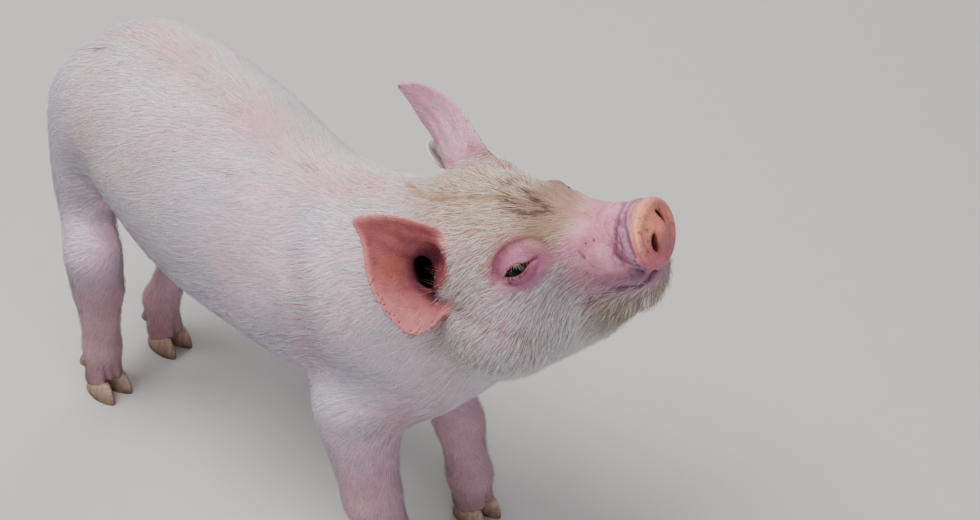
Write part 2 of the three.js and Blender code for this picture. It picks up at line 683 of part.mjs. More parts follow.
const UPPER_NAMES = { fore: "forearm", hind: "thigh" };
const LOWER_NAMES = { fore: "forefoot", hind: "hindfoot" };
for (const name of Object.keys(LEGS)) {
  const [pair, side] = name.split("_");
  const { upper, lower } = makeLeg(name);
  place(`${UPPER_NAMES[pair]}_${side}`, upper, COLOURS.skin);
  place(`${LOWER_NAMES[pair]}_${side}`, lower, COLOURS.leg);
  for (const toe of [1, -1]) {
    const reach = toe * (side === "left" ? 1 : -1) > 0 ? "outer" : "inner";
    place(`claw_${name}_${reach}`, makeClaw(name, toe), COLOURS.hoof, 0.45);
    place(`dewclaw_${name}_${reach}`, dewclaw(name, toe), COLOURS.hoof, 0.45);
  }
}

// The origin is on the ground, under the middle of the animal's box.
const bounds = new THREE.Box3().setFromObject(pig);
const middle = bounds.getCenter(new THREE.Vector3());
pig.position.set(-middle.x, -middle.y, 0);

export default pig;
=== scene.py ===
"""A young white pig standing with its head raised and tilted: one skin, its coat, eyes, claws and ear tag.

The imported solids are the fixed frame. Their flesh is one distance field, a smooth union of named masses,
restated here in millimetres. The skin is a finer mesh of that field, a coat's depth inside it, with ears,
lids, folds and nostrils added. The coat is thin tapered hairs that lie along the skin.
"""

import math
from concurrent.futures import ThreadPoolExecutor

import bpy
import numpy as np
from mathutils import Matrix, Vector


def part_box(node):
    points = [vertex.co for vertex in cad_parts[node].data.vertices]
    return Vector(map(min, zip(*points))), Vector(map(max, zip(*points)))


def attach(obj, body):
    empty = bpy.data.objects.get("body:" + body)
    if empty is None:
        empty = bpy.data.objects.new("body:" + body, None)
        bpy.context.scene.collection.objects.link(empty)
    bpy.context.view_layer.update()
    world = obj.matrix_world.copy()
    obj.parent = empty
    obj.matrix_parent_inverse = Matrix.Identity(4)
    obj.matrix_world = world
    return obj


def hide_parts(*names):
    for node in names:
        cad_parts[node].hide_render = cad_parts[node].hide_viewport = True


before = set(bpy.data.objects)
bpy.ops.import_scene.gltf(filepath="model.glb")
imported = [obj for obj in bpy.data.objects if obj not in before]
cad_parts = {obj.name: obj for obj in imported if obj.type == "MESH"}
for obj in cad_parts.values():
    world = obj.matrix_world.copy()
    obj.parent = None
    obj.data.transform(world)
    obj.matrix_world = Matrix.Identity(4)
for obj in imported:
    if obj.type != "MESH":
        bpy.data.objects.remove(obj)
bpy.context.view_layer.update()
MM = 0.001
SEED = 7
RIGHT, LEFT = SIDES = -1, 1  # the animal's sides: the sign of y


def vec(*values):
    return np.array(values, np.float64)


# ---------------------------------------------------------------- sizes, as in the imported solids

TRUNK = (  # centre, radii, blend
    (vec(-102, 0, 234.5), vec(59, 51.5, 57.5), 1),
    (vec(-58, 0, 228), vec(76.5, 53, 61), 30),
    (vec(-10.5, 0, 193.5), vec(97.5, 61, 64.5), 40),
    (vec(57, 0, 190.5), vec(66, 50, 63), 40),
)
PAIRED = (
    (vec(-143, 28, 188), vec(20.5, 21.5, 74), 25),
    (vec(116, 17, 187), vec(43.5, 29, 56.5), 25),
)
LEGS = {  # joints from top to foot: x, y, z, radius
    "hind_right": (
        (-121, -45, 138, 18), (-136, -31, 90.5, 15.6), (-135, -33, 40, 11.6), (-136, -33, 14, 13.2)),
    "hind_left": ((-118, 36, 139, 20), (-125, 37, 87, 13.4), (-141, 27.5, 40, 11.6), (-139, 27.5, 14, 13.2)),
    "fore_right": ((97.5, -36.5, 137, 26), (117, -42, 76, 16.8), (129, -36, 38, 14), (130, -38, 14, 14)),
    "fore_left": ((94, 37, 138, 20), (115.5, 42, 79, 15.1), (126, 43, 38, 14), (127.5, 46, 14, 14)),
}
LEG_BLEND = 8
LEG_TO_BODY = 24
CROWN_ROUND = 2.5
FAR = 1e9
FLIP = vec(1, -1, 1)
HEEL = {"back": 7, "up": 7, "radius": 9.5, "blend": 9}

HEAD_AT = vec(248.2, 29.2, 311.5)  # middle of the snout disc
HEAD_YAW, HEAD_PITCH, HEAD_ROLL = 11.6, 31.7, 9.8
HEAD_BLEND = 22
CRANIUM = (vec(-108.5, 0, -0.5), vec(43.5, 39.5, 40))
FOREHEAD = (vec(-81.5, 0, 14.5), vec(39, 26.5, 25), 20)
MUZZLE = (vec(-73.5, 0, 2), vec(-12, 0, 1), 26, 17.7, 24)
JAW = (vec(-85, 0, -32), vec(-31, 0, -31), 26.5, 15.4, 12)
CHEEK = (vec(-102.5, 33, -22), vec(31.5, 29, 30.5), 22)
EAR_ROOT = (vec(-112, 35, 27), vec(17, 13, 17), 14)
CHIN = (vec(-17.5, 0, -25), vec(10.5, 13, 8.5), 7)  # the skin's own, under the snout disc
DISC = {"half_width": 21, "half_height": 17.2, "thickness": 10, "roundness": 4, "blend": 6}
NECK = (vec(90, 0, 211), vec(-108, 0, 0), 50, 40, 1)
CREST = (vec(75, 0, 217), vec(-118, 0, 22), 36, 28, 30)
THROAT = (vec(138, 11, 186), vec(-74, 2, -36), 28, 23, 24)
NECK_BLEND = 30
LEG_TOP = 205  # above this the legs have no say in the body's outline
HEAD_MIDDLE, HEAD_REACH = vec(-75, 0, 0), 135  # beyond this the head has none
NOSTRIL = {"side": 8.3, "up": 1.9, "radii": vec(9, 1.75, 5.4), "lean": 6, "turn": -25}
DISC_ROLL = 15
EYE = {"at": vec(-67.2, 32.7, 14.9), "radius": 9.3, "depth": 7.2}

EAR_REAR = {
    LEFT: ((53, 0), (43, 8.5), (31, 21.5), (17, 32), (-3, 37), (-14, 29)),
    RIGHT: ((53, 0), (43, 9), (31, 24), (15, 34), (-3, 38), (-14, 29)),
}
EAR_FRONT = {
    LEFT: ((-20, 8), (-24, -10), (-19, -22), (-5, -21), (13, -20.5), (29, -18), (44, -13), (50, -7)),
    RIGHT: ((-16, 10), (-13, 3), (-5, -6), (3, -14), (12, -20), (26, -18.5), (41, -12)),
}
EAR_CUP = {"half_width": 30, "hollow": 9, "at": (-2, 2), "size": 14, "bend_from": 18, "bend_over": 35}
EAR_ROLL = {"start": 14, "ease": 6}
EAR_ROUNDING = 0.7
EARS = {
    LEFT: {
        "at": vec(-120.5, 37.5, 43), "along": vec(-0.43, 0.45, 0.78), "facing": vec(0.249, 0.889, -0.384),
        "size": 1.07, "rise": 3.5, "bend": 11.5, "roll": 1.1, "rear": 0.8,
        "canal": {"at": (-6, 3), "slot": vec(-0.5, 0.5, 0.4), "inward": vec(0.1, -0.6, -0.8), "deep": 11},
    },
    RIGHT: {
        "at": vec(-110, -38, 30), "along": vec(-0.53, -0.13, 0.83), "facing": vec(0.5, -0.86, 0.13),
        "size": 1.0, "rise": 9, "bend": 4, "roll": 0, "rear": 1.0,
        "canal": {
            "at": (4, 8), "slot": vec(-0.141, 0.228, -0.963), "inward": vec(0.25, -0.79, -0.3), "deep": 15},
    },
}
BOWL = {"at": vec(17, 4, 16), "radii": vec(19.5, 22, 20)}  # in the ear's own coordinates
CANAL_RADII = (9.5, 4.0)  # along and across its slot
TAIL = vec(
    (-146, 0, 252), (-160, 4, 247), (-168, 12, 234), (-167, 21, 219), (-166, 26, 206),
    (-172, 28, 199), (-179, 24, 203), (-178, 17, 210),
)
TAIL_RADII = (6.6, 2.2)
CLAW = {
    "toe": 15.5, "heel": 12.5, "width": 12.4, "taper": 0.35, "splay": 5, "crown": 10.5, "slope": 0.3,
    "side": 6.9,
}
DEWCLAW = {"length": 10, "radius": 4.1, "up": 25, "back": 9.5, "side": 7.4, "lean": 28}
DEWCLAW_PROFILE = (  # radius and height, as shares of the whole, from inside the leg to the tip
    (0.05, 1.0), (0.6, 0.98), (0.88, 0.85), (0.93, 0.5), (0.92, 0.1), (0.88, -0.3), (0.74, -0.62),
    (0.5, -0.84), (0.25, -0.96), (0.02, -1.0),
)
FOOT_AHEAD = 3

# ---------------------------------------------------------------- sizes of the looks

COAT_DEPTH = {"trunk": 2.0, "head": 1.3, "leg": 0.9, "snout": 0.25, "ear": 0.3}
GRID_X = ((62, 2.0), (262, 0.9))  # each span of the skin's grid: where it ends, its step
GRID_Y = ((84, 1.1),)
GRID_Z = ((32, 1.2), (194, 1.9), (332, 0.95))
GRID_START = (-190, -72, 4)
LID = 1.2
OPENING = {"at": (1.0, 0.8), "half": 7.8, "upper": 2.9, "lower": 2.3}  # of the eyelids, in the eye's frame
LID_FOLD = {"at": -3.5, "half": 17, "height": 13.3}
CHART_TIDYING = 3  # rounds of joining small patches of the unwrap
SMALL_PATCH = 60
LEG_CHART_TOP = 118
NECK_CHART_FRONT = -150
HEAD_REGIONS = (5, 6)  # of the unwrap, laid out in the head's axes: the head, and the ears
HEAD_UV_SCALE = 1.7
UV_GAP = 0.004
HAIR_UV = 0.003
HAIRS_IN_A_PIECE = 19000
HAIR_FALL = 4
LASHES = (  # of the upper and the lower lid: side, number, height of the opening, length, fall
    (1, 18, OPENING["upper"], 6.4, -0.75), (-1, 8, OPENING["lower"], 3.0, -0.5),
)
WHISKERS, EAR_HAIRS, LOCKS = 150, 34, 9
CORNEA = {"rise": 0.5, "spread": 0.75}
GAZE = (0.12, 0.08)  # lean of the eye's axis towards the outer corner and up
PUPIL = (3.3, 2.3)
IRIS = 5.6
EYE_RINGS, EYE_AROUND = 72, 96
TAG = {"along": 17, "across": 29, "radius": 10.4, "hub_height": 2.5, "lift": 2.4, "tilt": -15}
TAG_PROFILE = (  # radius and height from the middle of the blank face round to the button inside the ear
    (0.05, 1.1), (4, 1.1), (8.1, 1.1), (8.5, 1.2), (8.9, 1.45), (9.5, 1.5), (10.1, 1.38), (10.4, 1.0),
    (10.4, 0.6), (10.2, 0.2), (9.7, 0), (6, 0), (3.6, 0), (3.15, -0.15), (3.0, -0.5), (2.95, -2.1),
    (2.7, -2.45), (1.4, -2.55), (1.3, -3.5), (1.3, -4.9), (3.0, -5.0), (3.5, -5.4), (3.2, -5.9), (0.05, -6.2),
)
CAMERA = {"at": (667, -684, 962.7), "turn": (126.43, 39.49, 3.96), "lens": 73.469}  # yaw, pitch down, roll
FLOOR_COLOUR = (0.6, 0.59, 0.57)
LIGHTS = (  # name, place, size, power, colour
    ("key", (-0.3, -0.6, 2.1), 1.3, 41, (1.0, 0.985, 0.965)),
    ("fill", (1.9, -1.3, 1.2), 1.6, 15, (0.95, 0.97, 1.0)),
    ("back", (-0.8, 1.8, 1.3), 1.2, 12, (1, 1, 1)),
)
LIT_PLACE = (0, 0, 0.2)
WORLD_COLOUR = (0.93, 0.95, 1.0, 1)
WORLD_LIGHT = 0.255
PAIRED_FLESH = ("ear", "forearm", "forefoot", "thigh", "hindfoot")
FLESH = (
    "shoulders", "barrel", "hindquarters", "neck", "head", "lower_jaw", "snout", "tail",
    *(f"{part}_{side}" for part in PAIRED_FLESH for side in ("left", "right")),
)

# ---------------------------------------------------------------- frames


def axes_from(yaw, pitch, roll):
    """Columns: forward, left and up of a head with this yaw, pitch and roll in degrees."""
    yaw, pitch, roll = (math.radians(a) for a in (yaw, pitch, roll))
    forward = vec(math.cos(pitch) * math.cos(yaw), math.cos(pitch) * math.sin(yaw), math.sin(pitch))
    level = vec(-math.sin(yaw), math.cos(yaw), 0)
    left = math.cos(roll) * level + math.sin(roll) * np.cross(forward, level)
    return np.stack([forward, left, np.cross(forward, left)], axis=1)


HEAD_AXES = axes_from(HEAD_YAW, HEAD_PITCH, HEAD_ROLL)


def to_head(p):
    return (p - HEAD_AT) @ HEAD_AXES


def from_head(q):
    return HEAD_AT + np.asarray(q) @ HEAD_AXES.T


def unit(v):
    return v / (np.linalg.norm(v, axis=-1, keepdims=True) + 1e-12)


def ease(value, start, end):
    """0 before start, 1 after end, smooth between. start may be above end."""
    t = np.clip((value - start) / (end - start), 0, 1)
    return t * t * (3 - 2 * t)


def toward(value, target, weight):
    return value + (target - value) * weight


# ---------------------------------------------------------------- distances


def dots(a, b):
    return np.einsum("ij,ij->i", a, b)


def length(q):
    return np.sqrt(dots(q, q))


def each(values):
    """A number for each point, ready to multiply the points' coordinates."""
    return np.asarray(values)[:, None]


def columns(*parts):
    """Points from their coordinates, each of which is an array or one number."""
    return np.stack(np.broadcast_arrays(*parts), axis=-1)


def bell(value, width):
    """1 where value is zero, and next to nothing beyond twice the width."""
    return np.exp(-((value / width) ** 2))


def mirrored(p):
    """The points, with those of the right side brought over to the left."""
    return columns(p[:, 0], np.abs(p[:, 1]), p[:, 2])


def smooth_union(a, b, blend):
    h = np.maximum(blend - np.abs(a - b), 0) / blend
    return np.minimum(a, b) - h * h * blend / 4


def smooth_cut(a, b, blend):
    """What is in a and not in b."""
    return -smooth_union(-a, b, blend)


def ellipsoid(p, at, radii):
    q = (p - at) / radii
    k = length(q)
    return k * (k - 1) / (length(q / radii) + 1e-9)


def off_line(p, start, end):
    """Distance from the line between two points, and how far along it each point lies, from 0 to 1."""
    line = end - start
    t = np.clip((p - start) @ line / (line @ line), 0, 1)
    return length(p - start - each(t) * line), t


def cone(p, start, end, r0, r1):
    away, t = off_line(p, start, end)
    return away - (r0 + t * (r1 - r0))


def rotated(x, y, degrees):
    """Coordinates in axes turned by this angle."""
    turn = math.radians(degrees)
    return x * math.cos(turn) + y * math.sin(turn), y * math.cos(turn) - x * math.sin(turn)


def rolled(q):
    """Across and up on the snout disc, which is turned a little about the head's axis."""
    return rotated(q[:, 1], q[:, 2], DISC_ROLL)


def disc_radius(q):
    """1 on the rim of the snout disc."""
    return np.hypot(q[:, 1] / DISC["half_width"], q[:, 2] / DISC["half_height"])


def disc_distance(q):
    rim = (disc_radius(q) - 1) * (DISC["half_width"] + DISC["half_height"]) / 2
    face = np.abs(q[:, 0] + DISC["thickness"] / 2) - DISC["thickness"] / 2
    return -smooth_union(-rim, -face, DISC["roundness"])


def head_distance(q):
    d = smooth_union(ellipsoid(q, *CRANIUM), ellipsoid(q, *FOREHEAD[:2]), FOREHEAD[2])
    for start, end, r0, r1, blend in (MUZZLE, JAW):
        d = smooth_union(d, cone(q, start, end, r0, r1), blend)
    for side in (q, q * FLIP):
        for at, radii, blend in (CHEEK, EAR_ROOT):
            d = smooth_union(d, ellipsoid(side, at, radii), blend)
    return smooth_union(d, disc_distance(q), DISC["blend"])


def crown_height(p, foot):
    """Height above the crown of the claws, below which the flesh of a leg ends."""
    return p[:, 2] - CLAW["crown"] - CLAW["slope"] * (p[:, 0] - foot[0] - FOOT_AHEAD)


def leg_distance(p, name, trim):
    joints = np.array(LEGS[name], float)
    d = np.full(len(p), FAR)
    for a, b in zip(joints[:-1], joints[1:]):
        d = smooth_union(d, cone(p, a[:3], b[:3], a[3], b[3]), LEG_BLEND)
    if name.startswith("hind"):
        heel = joints[1, :3] + vec(-HEEL["back"], 0, HEEL["up"])
        d = smooth_union(d, length(p - heel) - HEEL["radius"], HEEL["blend"])
    return smooth_cut(d, crown_height(p, joints[3]), CROWN_ROUND) if trim else d


def neck_distance(p):
    d = np.full(len(p), FAR)
    for low, high, r0, r1, blend in (NECK, CREST, THROAT):
        d = smooth_union(d, cone(p, low, from_head(high), r0, r1), blend)
    return d


def body_distance(p, trim=False):
    """The outline of the coat, without ears and tail. trim ends the legs at the crowns of the claws."""
    d = np.full(len(p), FAR)
    for at, radii, blend in TRUNK:
        d = smooth_union(d, ellipsoid(p, at, radii), blend)
    for at, radii, blend in PAIRED:
        for side in (p, p * FLIP):
            d = smooth_union(d, ellipsoid(side, at, radii), blend)
    low = np.flatnonzero(p[:, 2] < LEG_TOP)
    for name in LEGS:
        d[low] = smooth_union(d[low], leg_distance(p[low], name, trim), LEG_TO_BODY)
    d = smooth_union(d, neck_distance(p), NECK_BLEND)
    q = to_head(p)
    near = np.flatnonzero(length(q - HEAD_MIDDLE) < HEAD_REACH)
    d[near] = smooth_union(d[near], head_distance(q[near]), HEAD_BLEND)
    return d


TETRAHEDRON = vec((1, 1, 1), (1, -1, -1), (-1, 1, -1), (-1, -1, 1))


def slope(distance, p, step=0.2):
    """Gradient of a distance and, from the same four samples, its value."""
    gradient = np.zeros(p.shape)
    value = np.zeros(len(p))
    for corner in TETRAHEDRON:
        sample = distance(p + corner * step)
        gradient += sample[:, None] * corner / (4 * step)
        value += sample / 4
    return gradient, value


def curve_points(points, where):
    """Places on the Catmull-Rom curve through all but the end points. At 0 it is at the second point."""
    out = []
    for t in where:
        i, f = int(t), t % 1
        a, b, c, d = points[i:i + 4]
        out.append(b + 0.5 * f * (c - a + f * (2 * a - 5 * b + 4 * c - d + f * (3 * (b - c) + d - a))))
    return np.array(out)


def closed_curve(points, count):
    around = np.concatenate([points[-1:], points, points[:2]])
    return curve_points(around, np.arange(count) * len(points) / count)


def open_curve(points, count):
    ends = np.vstack([2 * points[0] - points[1], points, 2 * points[-1] - points[-2]])
    return curve_points(ends, np.linspace(0, len(points) - 1 - 1e-6, count))


def outline_distance(p, outline):
    """Signed distance to a closed outline in the plane, negative inside."""
    best = np.full(len(p), FAR)
    inside = np.zeros(len(p), bool)
    for a, b in zip(outline, np.roll(outline, -1, axis=0)):
        best = np.minimum(best, off_line(p, a, b)[0])
        crosses = (a[1] > p[:, 1]) != (b[1] > p[:, 1])
        with np.errstate(divide="ignore", invalid="ignore"):
            at = (b[0] - a[0]) * (p[:, 1] - a[1]) / (b[1] - a[1]) + a[0]
        inside ^= crosses & (p[:, 0] < at)
    return np.where(inside, -best, best)


EAR_EDGE = {side: closed_curve(vec(*EAR_REAR[side], *EAR_FRONT[side]), 60) for side in SIDES}


def ear_axes(side):
    """Columns: along the ear, across it towards its rear edge, and the way its hollow faces."""
    ear = EARS[side]
    along = unit(ear["along"])
    facing = unit(ear["facing"] - along * (ear["facing"] @ along))
    return np.stack([along, side * np.cross(along, facing), facing], axis=1)


def ear_height(ear, along, across):
    rims = ear["rise"] * (across / EAR_CUP["half_width"]) ** 2
    away = np.hypot(along - EAR_CUP["at"][0], across - EAR_CUP["at"][1])
    hollow = EAR_CUP["hollow"] * bell(away, EAR_CUP["size"] * math.sqrt(2))
    past = np.maximum(0, along - EAR_CUP["bend_from"]) / EAR_CUP["bend_over"]
    over = across - EAR_ROLL["start"]
    roll = ear["roll"] * (over + np.hypot(over, EAR_ROLL["ease"])) / 2
    return rims - hollow - ear["bend"] * past * past + roll


def leaf_place(side, along, across):
    """A point of the leaf's middle surface, in the head's frame."""
    ear = EARS[side]
    width = across * (ear["rear"] if across > 0 else 1)
    local = vec(along * ear["size"], width * ear["size"], ear_height(ear, along, width))
    return ear["at"] + ear_axes(side) @ local


def ear_coordinates(q, side):
    """Of points in the head's frame: along and across the leaf, and height over its middle surface."""
    ear = EARS[side]
    u, v, w = ((q - ear["at"]) @ ear_axes(side)).T
    along, width, step = u / ear["size"], v / ear["size"], 0.5
    height = ear_height(ear, along, width)
    steep_u = (ear_height(ear, along + step, width) - height) / step
    steep_v = (ear_height(ear, along, width + step) - height) / step
    over = (w - height) / np.sqrt(1 + steep_u**2 + steep_v**2)
    return along, np.where(width > 0, width / ear["rear"], width), over


def ear_surface(q, n, side):
    """The ear's coordinates, the distance past the leaf's edge, and how far the skin faces as the hollow."""
    along, across, over = ear_coordinates(q, side)
    edge = outline_distance(columns(along, across), EAR_EDGE[side])
    return along, across, over, edge, (n @ HEAD_AXES) @ ear_axes(side)[:, 2]


def ear_distance(q, side):
    along, across, over = ear_coordinates(q, side)
    edge = outline_distance(columns(along, across), EAR_EDGE[side]) * EARS[side]["size"] + COAT_DEPTH["ear"]
    depth = ease(-edge, 0, 16)
    half = 0.75 + 0.55 * depth
    ridges = 0.35 * np.sin(across * 0.62 + 0.4) * ease(along, 4, 20) * depth
    out = np.maximum(edge + EAR_ROUNDING, 0)
    up = np.maximum(np.abs(over - ridges) - half + EAR_ROUNDING, 0)
    return np.hypot(out, up) - EAR_ROUNDING


def bowl_distance(q, side):
    """The hollow of the ear, which opens the side of the head down to the leaf."""
    along, across, over = ear_coordinates(q, side)
    return np.maximum(ellipsoid(columns(along, across, over), BOWL["at"], BOWL["radii"]), 0.9 - over)


def canal_distance(q, side):
    """The ear's canal: an upright slot that goes from the bottom of the hollow into the head."""
    canal = EARS[side]["canal"]
    mouth = leaf_place(side, *canal["at"])
    slot = unit(canal["slot"])
    inward = unit(canal["inward"])
    inward = unit(inward - slot * (inward @ slot))
    local = (q - mouth) @ np.stack([slot, np.cross(inward, slot), inward], axis=1)
    hole = ellipsoid(local, vec(0, 0, 2), vec(*CANAL_RADII, canal["deep"]))
    return np.maximum(hole, head_distance(q) + 1.2)


TAIL_LINE = open_curve(TAIL, 40)


def tail_distance(p):
    steps = len(TAIL_LINE) - 1
    radius = TAIL_RADII[0] + (TAIL_RADII[1] - TAIL_RADII[0]) * (np.arange(steps + 1) / steps) ** 0.8
    bones = zip(TAIL_LINE[:-1], TAIL_LINE[1:], radius[:-1], radius[1:])
    return np.minimum.reduce([cone(p, *bone) for bone in bones])


# ---------------------------------------------------------------- eyes

EYE_CORNER = vec(-19.1, 11, -1.2)  # the way from the inner corner of the left eye to its outer one


def settled(distance, p):
    """The points, moved onto the surface where the distance is zero."""
    for _ in range(3):
        gradient, value = slope(distance, p)
        p = p - gradient * each(value / (dots(gradient, gradient) + 1e-6))
    return p


def eye_frame(side):
    """Centre of the eyeball and its axes: towards the outer corner, up, and out of the head."""
    surface = settled(body_distance, from_head(EYE["at"] * vec(1, side, 1))[None])
    outward = unit(slope(body_distance, surface)[0][0])
    corner = HEAD_AXES @ (EYE_CORNER * vec(1, side, 1))
    towards = unit(corner - outward * (corner @ outward))
    up = np.cross(outward, towards) * side
    up = up * np.sign(up @ HEAD_AXES[:, 2])
    return surface[0] - outward * EYE["depth"], np.stack([towards, up, outward], axis=1)


EYE_FRAMES = {side: eye_frame(side) for side in SIDES}


def in_eye(p, side):
    """Places in the eye's frame."""
    centre, axes = EYE_FRAMES[side]
    return (p - centre) @ axes


def lens(u, v):
    """Signed distance, about, to the opening between the lids."""
    s = (u - OPENING["at"][0]) / OPENING["half"]
    v = v - OPENING["at"][1]
    tall = np.where(v > 0, OPENING["upper"], OPENING["lower"])
    return (np.abs(v) - tall * (1 - s * s)) / np.sqrt(1 + (2 * tall * s / OPENING["half"]) ** 2)


def add_lids(d, p, side):
    q = in_eye(p, side)
    u, v, w = q.T
    near = ease(length(q), 34, 24) * ease(w, -4, 2)
    d = smooth_union(d, length(q * vec(1, 1.04, 1)) - EYE["radius"] - LID, 3.5)
    fold = np.hypot((u - LID_FOLD["at"]) / LID_FOLD["half"], v / LID_FOLD["height"]) - 1
    bag = np.hypot((u - 1) / 12.5, v / 7.6) - 1
    upper = ease(v, -1, 4)
    outer = bell(v - 0.5 + 0.16 * (u - 8), 1.3) * ease(u, 7, 10) * ease(u, 26, 14)
    inner = bell(v - 0.6, 0.9) * ease(u, -5.5, -7.5) * ease(u, -14, -9)
    d = d + near * (
        1.7 * bell(fold * 14, 1.7) * upper * (0.45 + 0.55 * ease(u, -6, 4))
        - 0.7 * bell((fold + 0.33) * 14, 3.2) * upper
        + 0.7 * bell(bag * 10, 1.2) * ease(v, 0, -3)
        + 0.8 * outer + 1.3 * inner)
    pocket = np.where(w > 0, np.maximum(lens(u, v), EYE["radius"] - 0.9 - length(q)), 9)
    margin = bell(lens(u, v) - 0.9, 0.8) * (w > 0)
    return smooth_cut(d - 0.25 * margin, pocket, 0.5)


# ---------------------------------------------------------------- folds

HEAD_FOLDS = (  # line in the head's frame (left side), half width, depth
    (((-114, 47.5, 14.5), (-106, 51, 8.5), (-96, 54.5, 0), (-85, 55, -10.5), (-78, 51.5, -19),
      (-74, 44, -31)), 4.5, 1.9),
    (((-113, 49, 9), (-122, 51, 2), (-134, 52, -7), (-144, 51, -16)), 6, 1.5),
    (((-98, 46, -44), (-112, 50, -36), (-128, 50, -28)), 6, 1.3),
)
BODY_FOLDS = (  # line in the body's frame (left side), half width, depth
    (((-122, 44, 190), (-121, 40, 172), (-116, 38, 161), (-108, 38, 152)), 6, 0.9),
    (((131, 37, 143), (126, 43, 137), (121, 50, 133)), 3.5, 1.5),
    (((141, 29, 147), (132, 31, 136), (127, 37, 129)), 3.0, 1.2),
    (((62, 50, 236), (73, 57, 218), (78, 57, 188), (76, 52, 160)), 9, 1.6),
    (((-78, 52, 168), (-92, 50, 160), (-106, 46, 158)), 6, 0.4),
)


MUZZLE_FOLDS = (  # line in the head's frame (left side), half width, depth
    (((-12.8, 0, 19), (-13.7, 10, 15.5), (-14.9, 15.5, 9.4), (-17.5, 17.5, 4), (-15.4, 18, -2.6),
      (-7.3, 20, -4.5)), 1.0, 2.5),
    (((-9.3, 0, 19.2), (-8, 9.8, 16.3), (-6.4, 14.3, 12.3), (-5.4, 18, 7), (-4.6, 20, 1)), 0.9, 1.9),
    (((-12, 17, 8), (-9.6, 18.6, 3.5), (-6.6, 20, -1)), 0.8, 1.2),
    (((-5.2, 0, 20), (-4.6, 10, 17.6), (-3.6, 15.6, 12.4), (-3, 19.4, 5), (-2.6, 21, -1), (-3.4, 18.6, -9),
      (-4, 12, -15)), 1.1, 2.5),
    (((-7.3, 20, -4.5), (-10, 19.8, -10), (-17, 18, -15), (-26, 17.5, -18)), 1.3, 1.6),
    (((-20, 2, 19.5), (-20.8, 9, 17)), 0.9, 0.8),
    (((-26, 1, 20.5), (-26.4, 7, 18.6)), 1.0, 0.6),
    (((-6, 14, -15), (-11, 15, -16.5), (-18, 15, -17.5)), 1.0, 1.2),
)
SCRATCH = ((1, 4.6, 8.3), (1, 4.9, 4.0), (1.8, 3.6, -1.2))  # on the snout disc
# line under the snout disc along which a grey mauve is painted: partly the skin's own colour, partly painted
# shade
UNDER_DISC = ((-5, 18, -9), (-13, 14, -13), (-19, 12, -18))
MAUVE_LINE = ((-7, 12, 17), (-7, 19, 5), (-7, 20, -6), (-14, 18, -14), (-28, 17, -20))
PAD_FOLDS = ((((-32.6, 18.7, 10.5), (-38.3, 20.9, -3.3), (-39.7, 15, -16.2)), 3.2, 1.3),)
MUZZLE_PADS = (  # middle, radius, height
    ((-25, 19, -3), 8, 1.9), ((-11, 18, 3), 4, 0.7), ((-20, 12, -17), 6, 0.6),
)


def line_distance(p, points):
    points = np.array(points, float)
    return np.minimum.reduce([off_line(p, a, b)[0] for a, b in zip(points[:-1], points[1:])])


def fold_depth(p, folds):
    """How far the folds press the skin in. Both sides have them."""
    left = mirrored(p)
    return sum(depth * bell(line_distance(left, points), width) for points, width, depth in folds)


def fine_wrinkles(q):
    """0 to 1: a net of fine wrinkles behind the snout disc."""
    lines = np.abs(wander(q * vec(1.6, 1, 0.75), 4.2, 91)) + 0.25 * wander(q, 9, 92)
    x = q[:, 0]
    return ease(lines, 0.3, 0.04) * ease(x, -24, -15) * ease(x, -2.5, -5) * ease(q[:, 2], -21, -14)


def muzzle_depth(q):
    """Wrinkles that ring the muzzle, and the line of the mouth."""
    x, z = q[:, 0], q[:, 2]
    d = fold_depth(q, MUZZLE_FOLDS + PAD_FOLDS) + 0.5 * fine_wrinkles(q)
    for at, radius, height in MUZZLE_PADS:
        d -= height * bell(length(mirrored(q) - vec(*at)), radius)
    over_lip = z - lip_level(x)
    lips = 0.9 * bell(over_lip - 3.6, 2.6) + 0.8 * bell(over_lip + 3.4, 2.4)
    return d + ease(x, -54, -44) * ease(x, 0, -3) * (1.3 * bell(over_lip, 0.9) - lips * ease(x, -50, -30))


def lip_level(x):
    """Height of the line between the lips."""
    return -23.8 + 6.0 * ease(x, -20, -4) - 1.2 * ease(x, -34, -50)


def disc_depth(q):
    """The snout disc: a rolled rim, a shallow middle and a groove between the nostrils."""
    x = q[:, 0]
    y, z = rolled(q)
    out = disc_radius(q)
    groove = bell(y, 1.6) * ease(z, -3, 6) * ease(out, 0.95, 0.7)
    face = 1.3 * bell(out - 0.4, 0.4) + 0.6 * groove - 0.5 * bell(out - 0.86, 0.12)
    return face * ease(x, -4, -1) - 0.8 * bell(x + 1.2, 1.8) * ease(out, 0.7, 0.95)


def nostril_distance(q, side):
    y, z = rolled(q)
    y, z = rotated(y - side * NOSTRIL["side"], z - NOSTRIL["up"], NOSTRIL["lean"] * side + NOSTRIL["turn"])
    return ellipsoid(columns(q[:, 0] + 1, y + side * 0.05 * z**2, z), 0, NOSTRIL["radii"])


def toe_cleft(p, name):
    """The cleft between the two toes, in front of and behind the foot."""
    out = p - np.array(LEGS[name][3][:3], float)
    return 2.6 * bell(out[:, 1], 2.2) * ease(p[:, 2], 40, 22) * ease(length(out[:, :2]), 4, 11)


# ---------------------------------------------------------------- the skin's distance


def coat_depth(p, q):
    """How far the skin lies inside the tips of the coat. q is p in the head's frame."""
    depth = COAT_DEPTH["trunk"]
    for part, reach in (
            ("leg", ease(p[:, 2], 165, 110)), ("head", ease(q[:, 0], -135, -95)),
            ("snout", ease(q[:, 0], -34, -14))):
        depth = toward(depth, COAT_DEPTH[part], reach)
    return depth


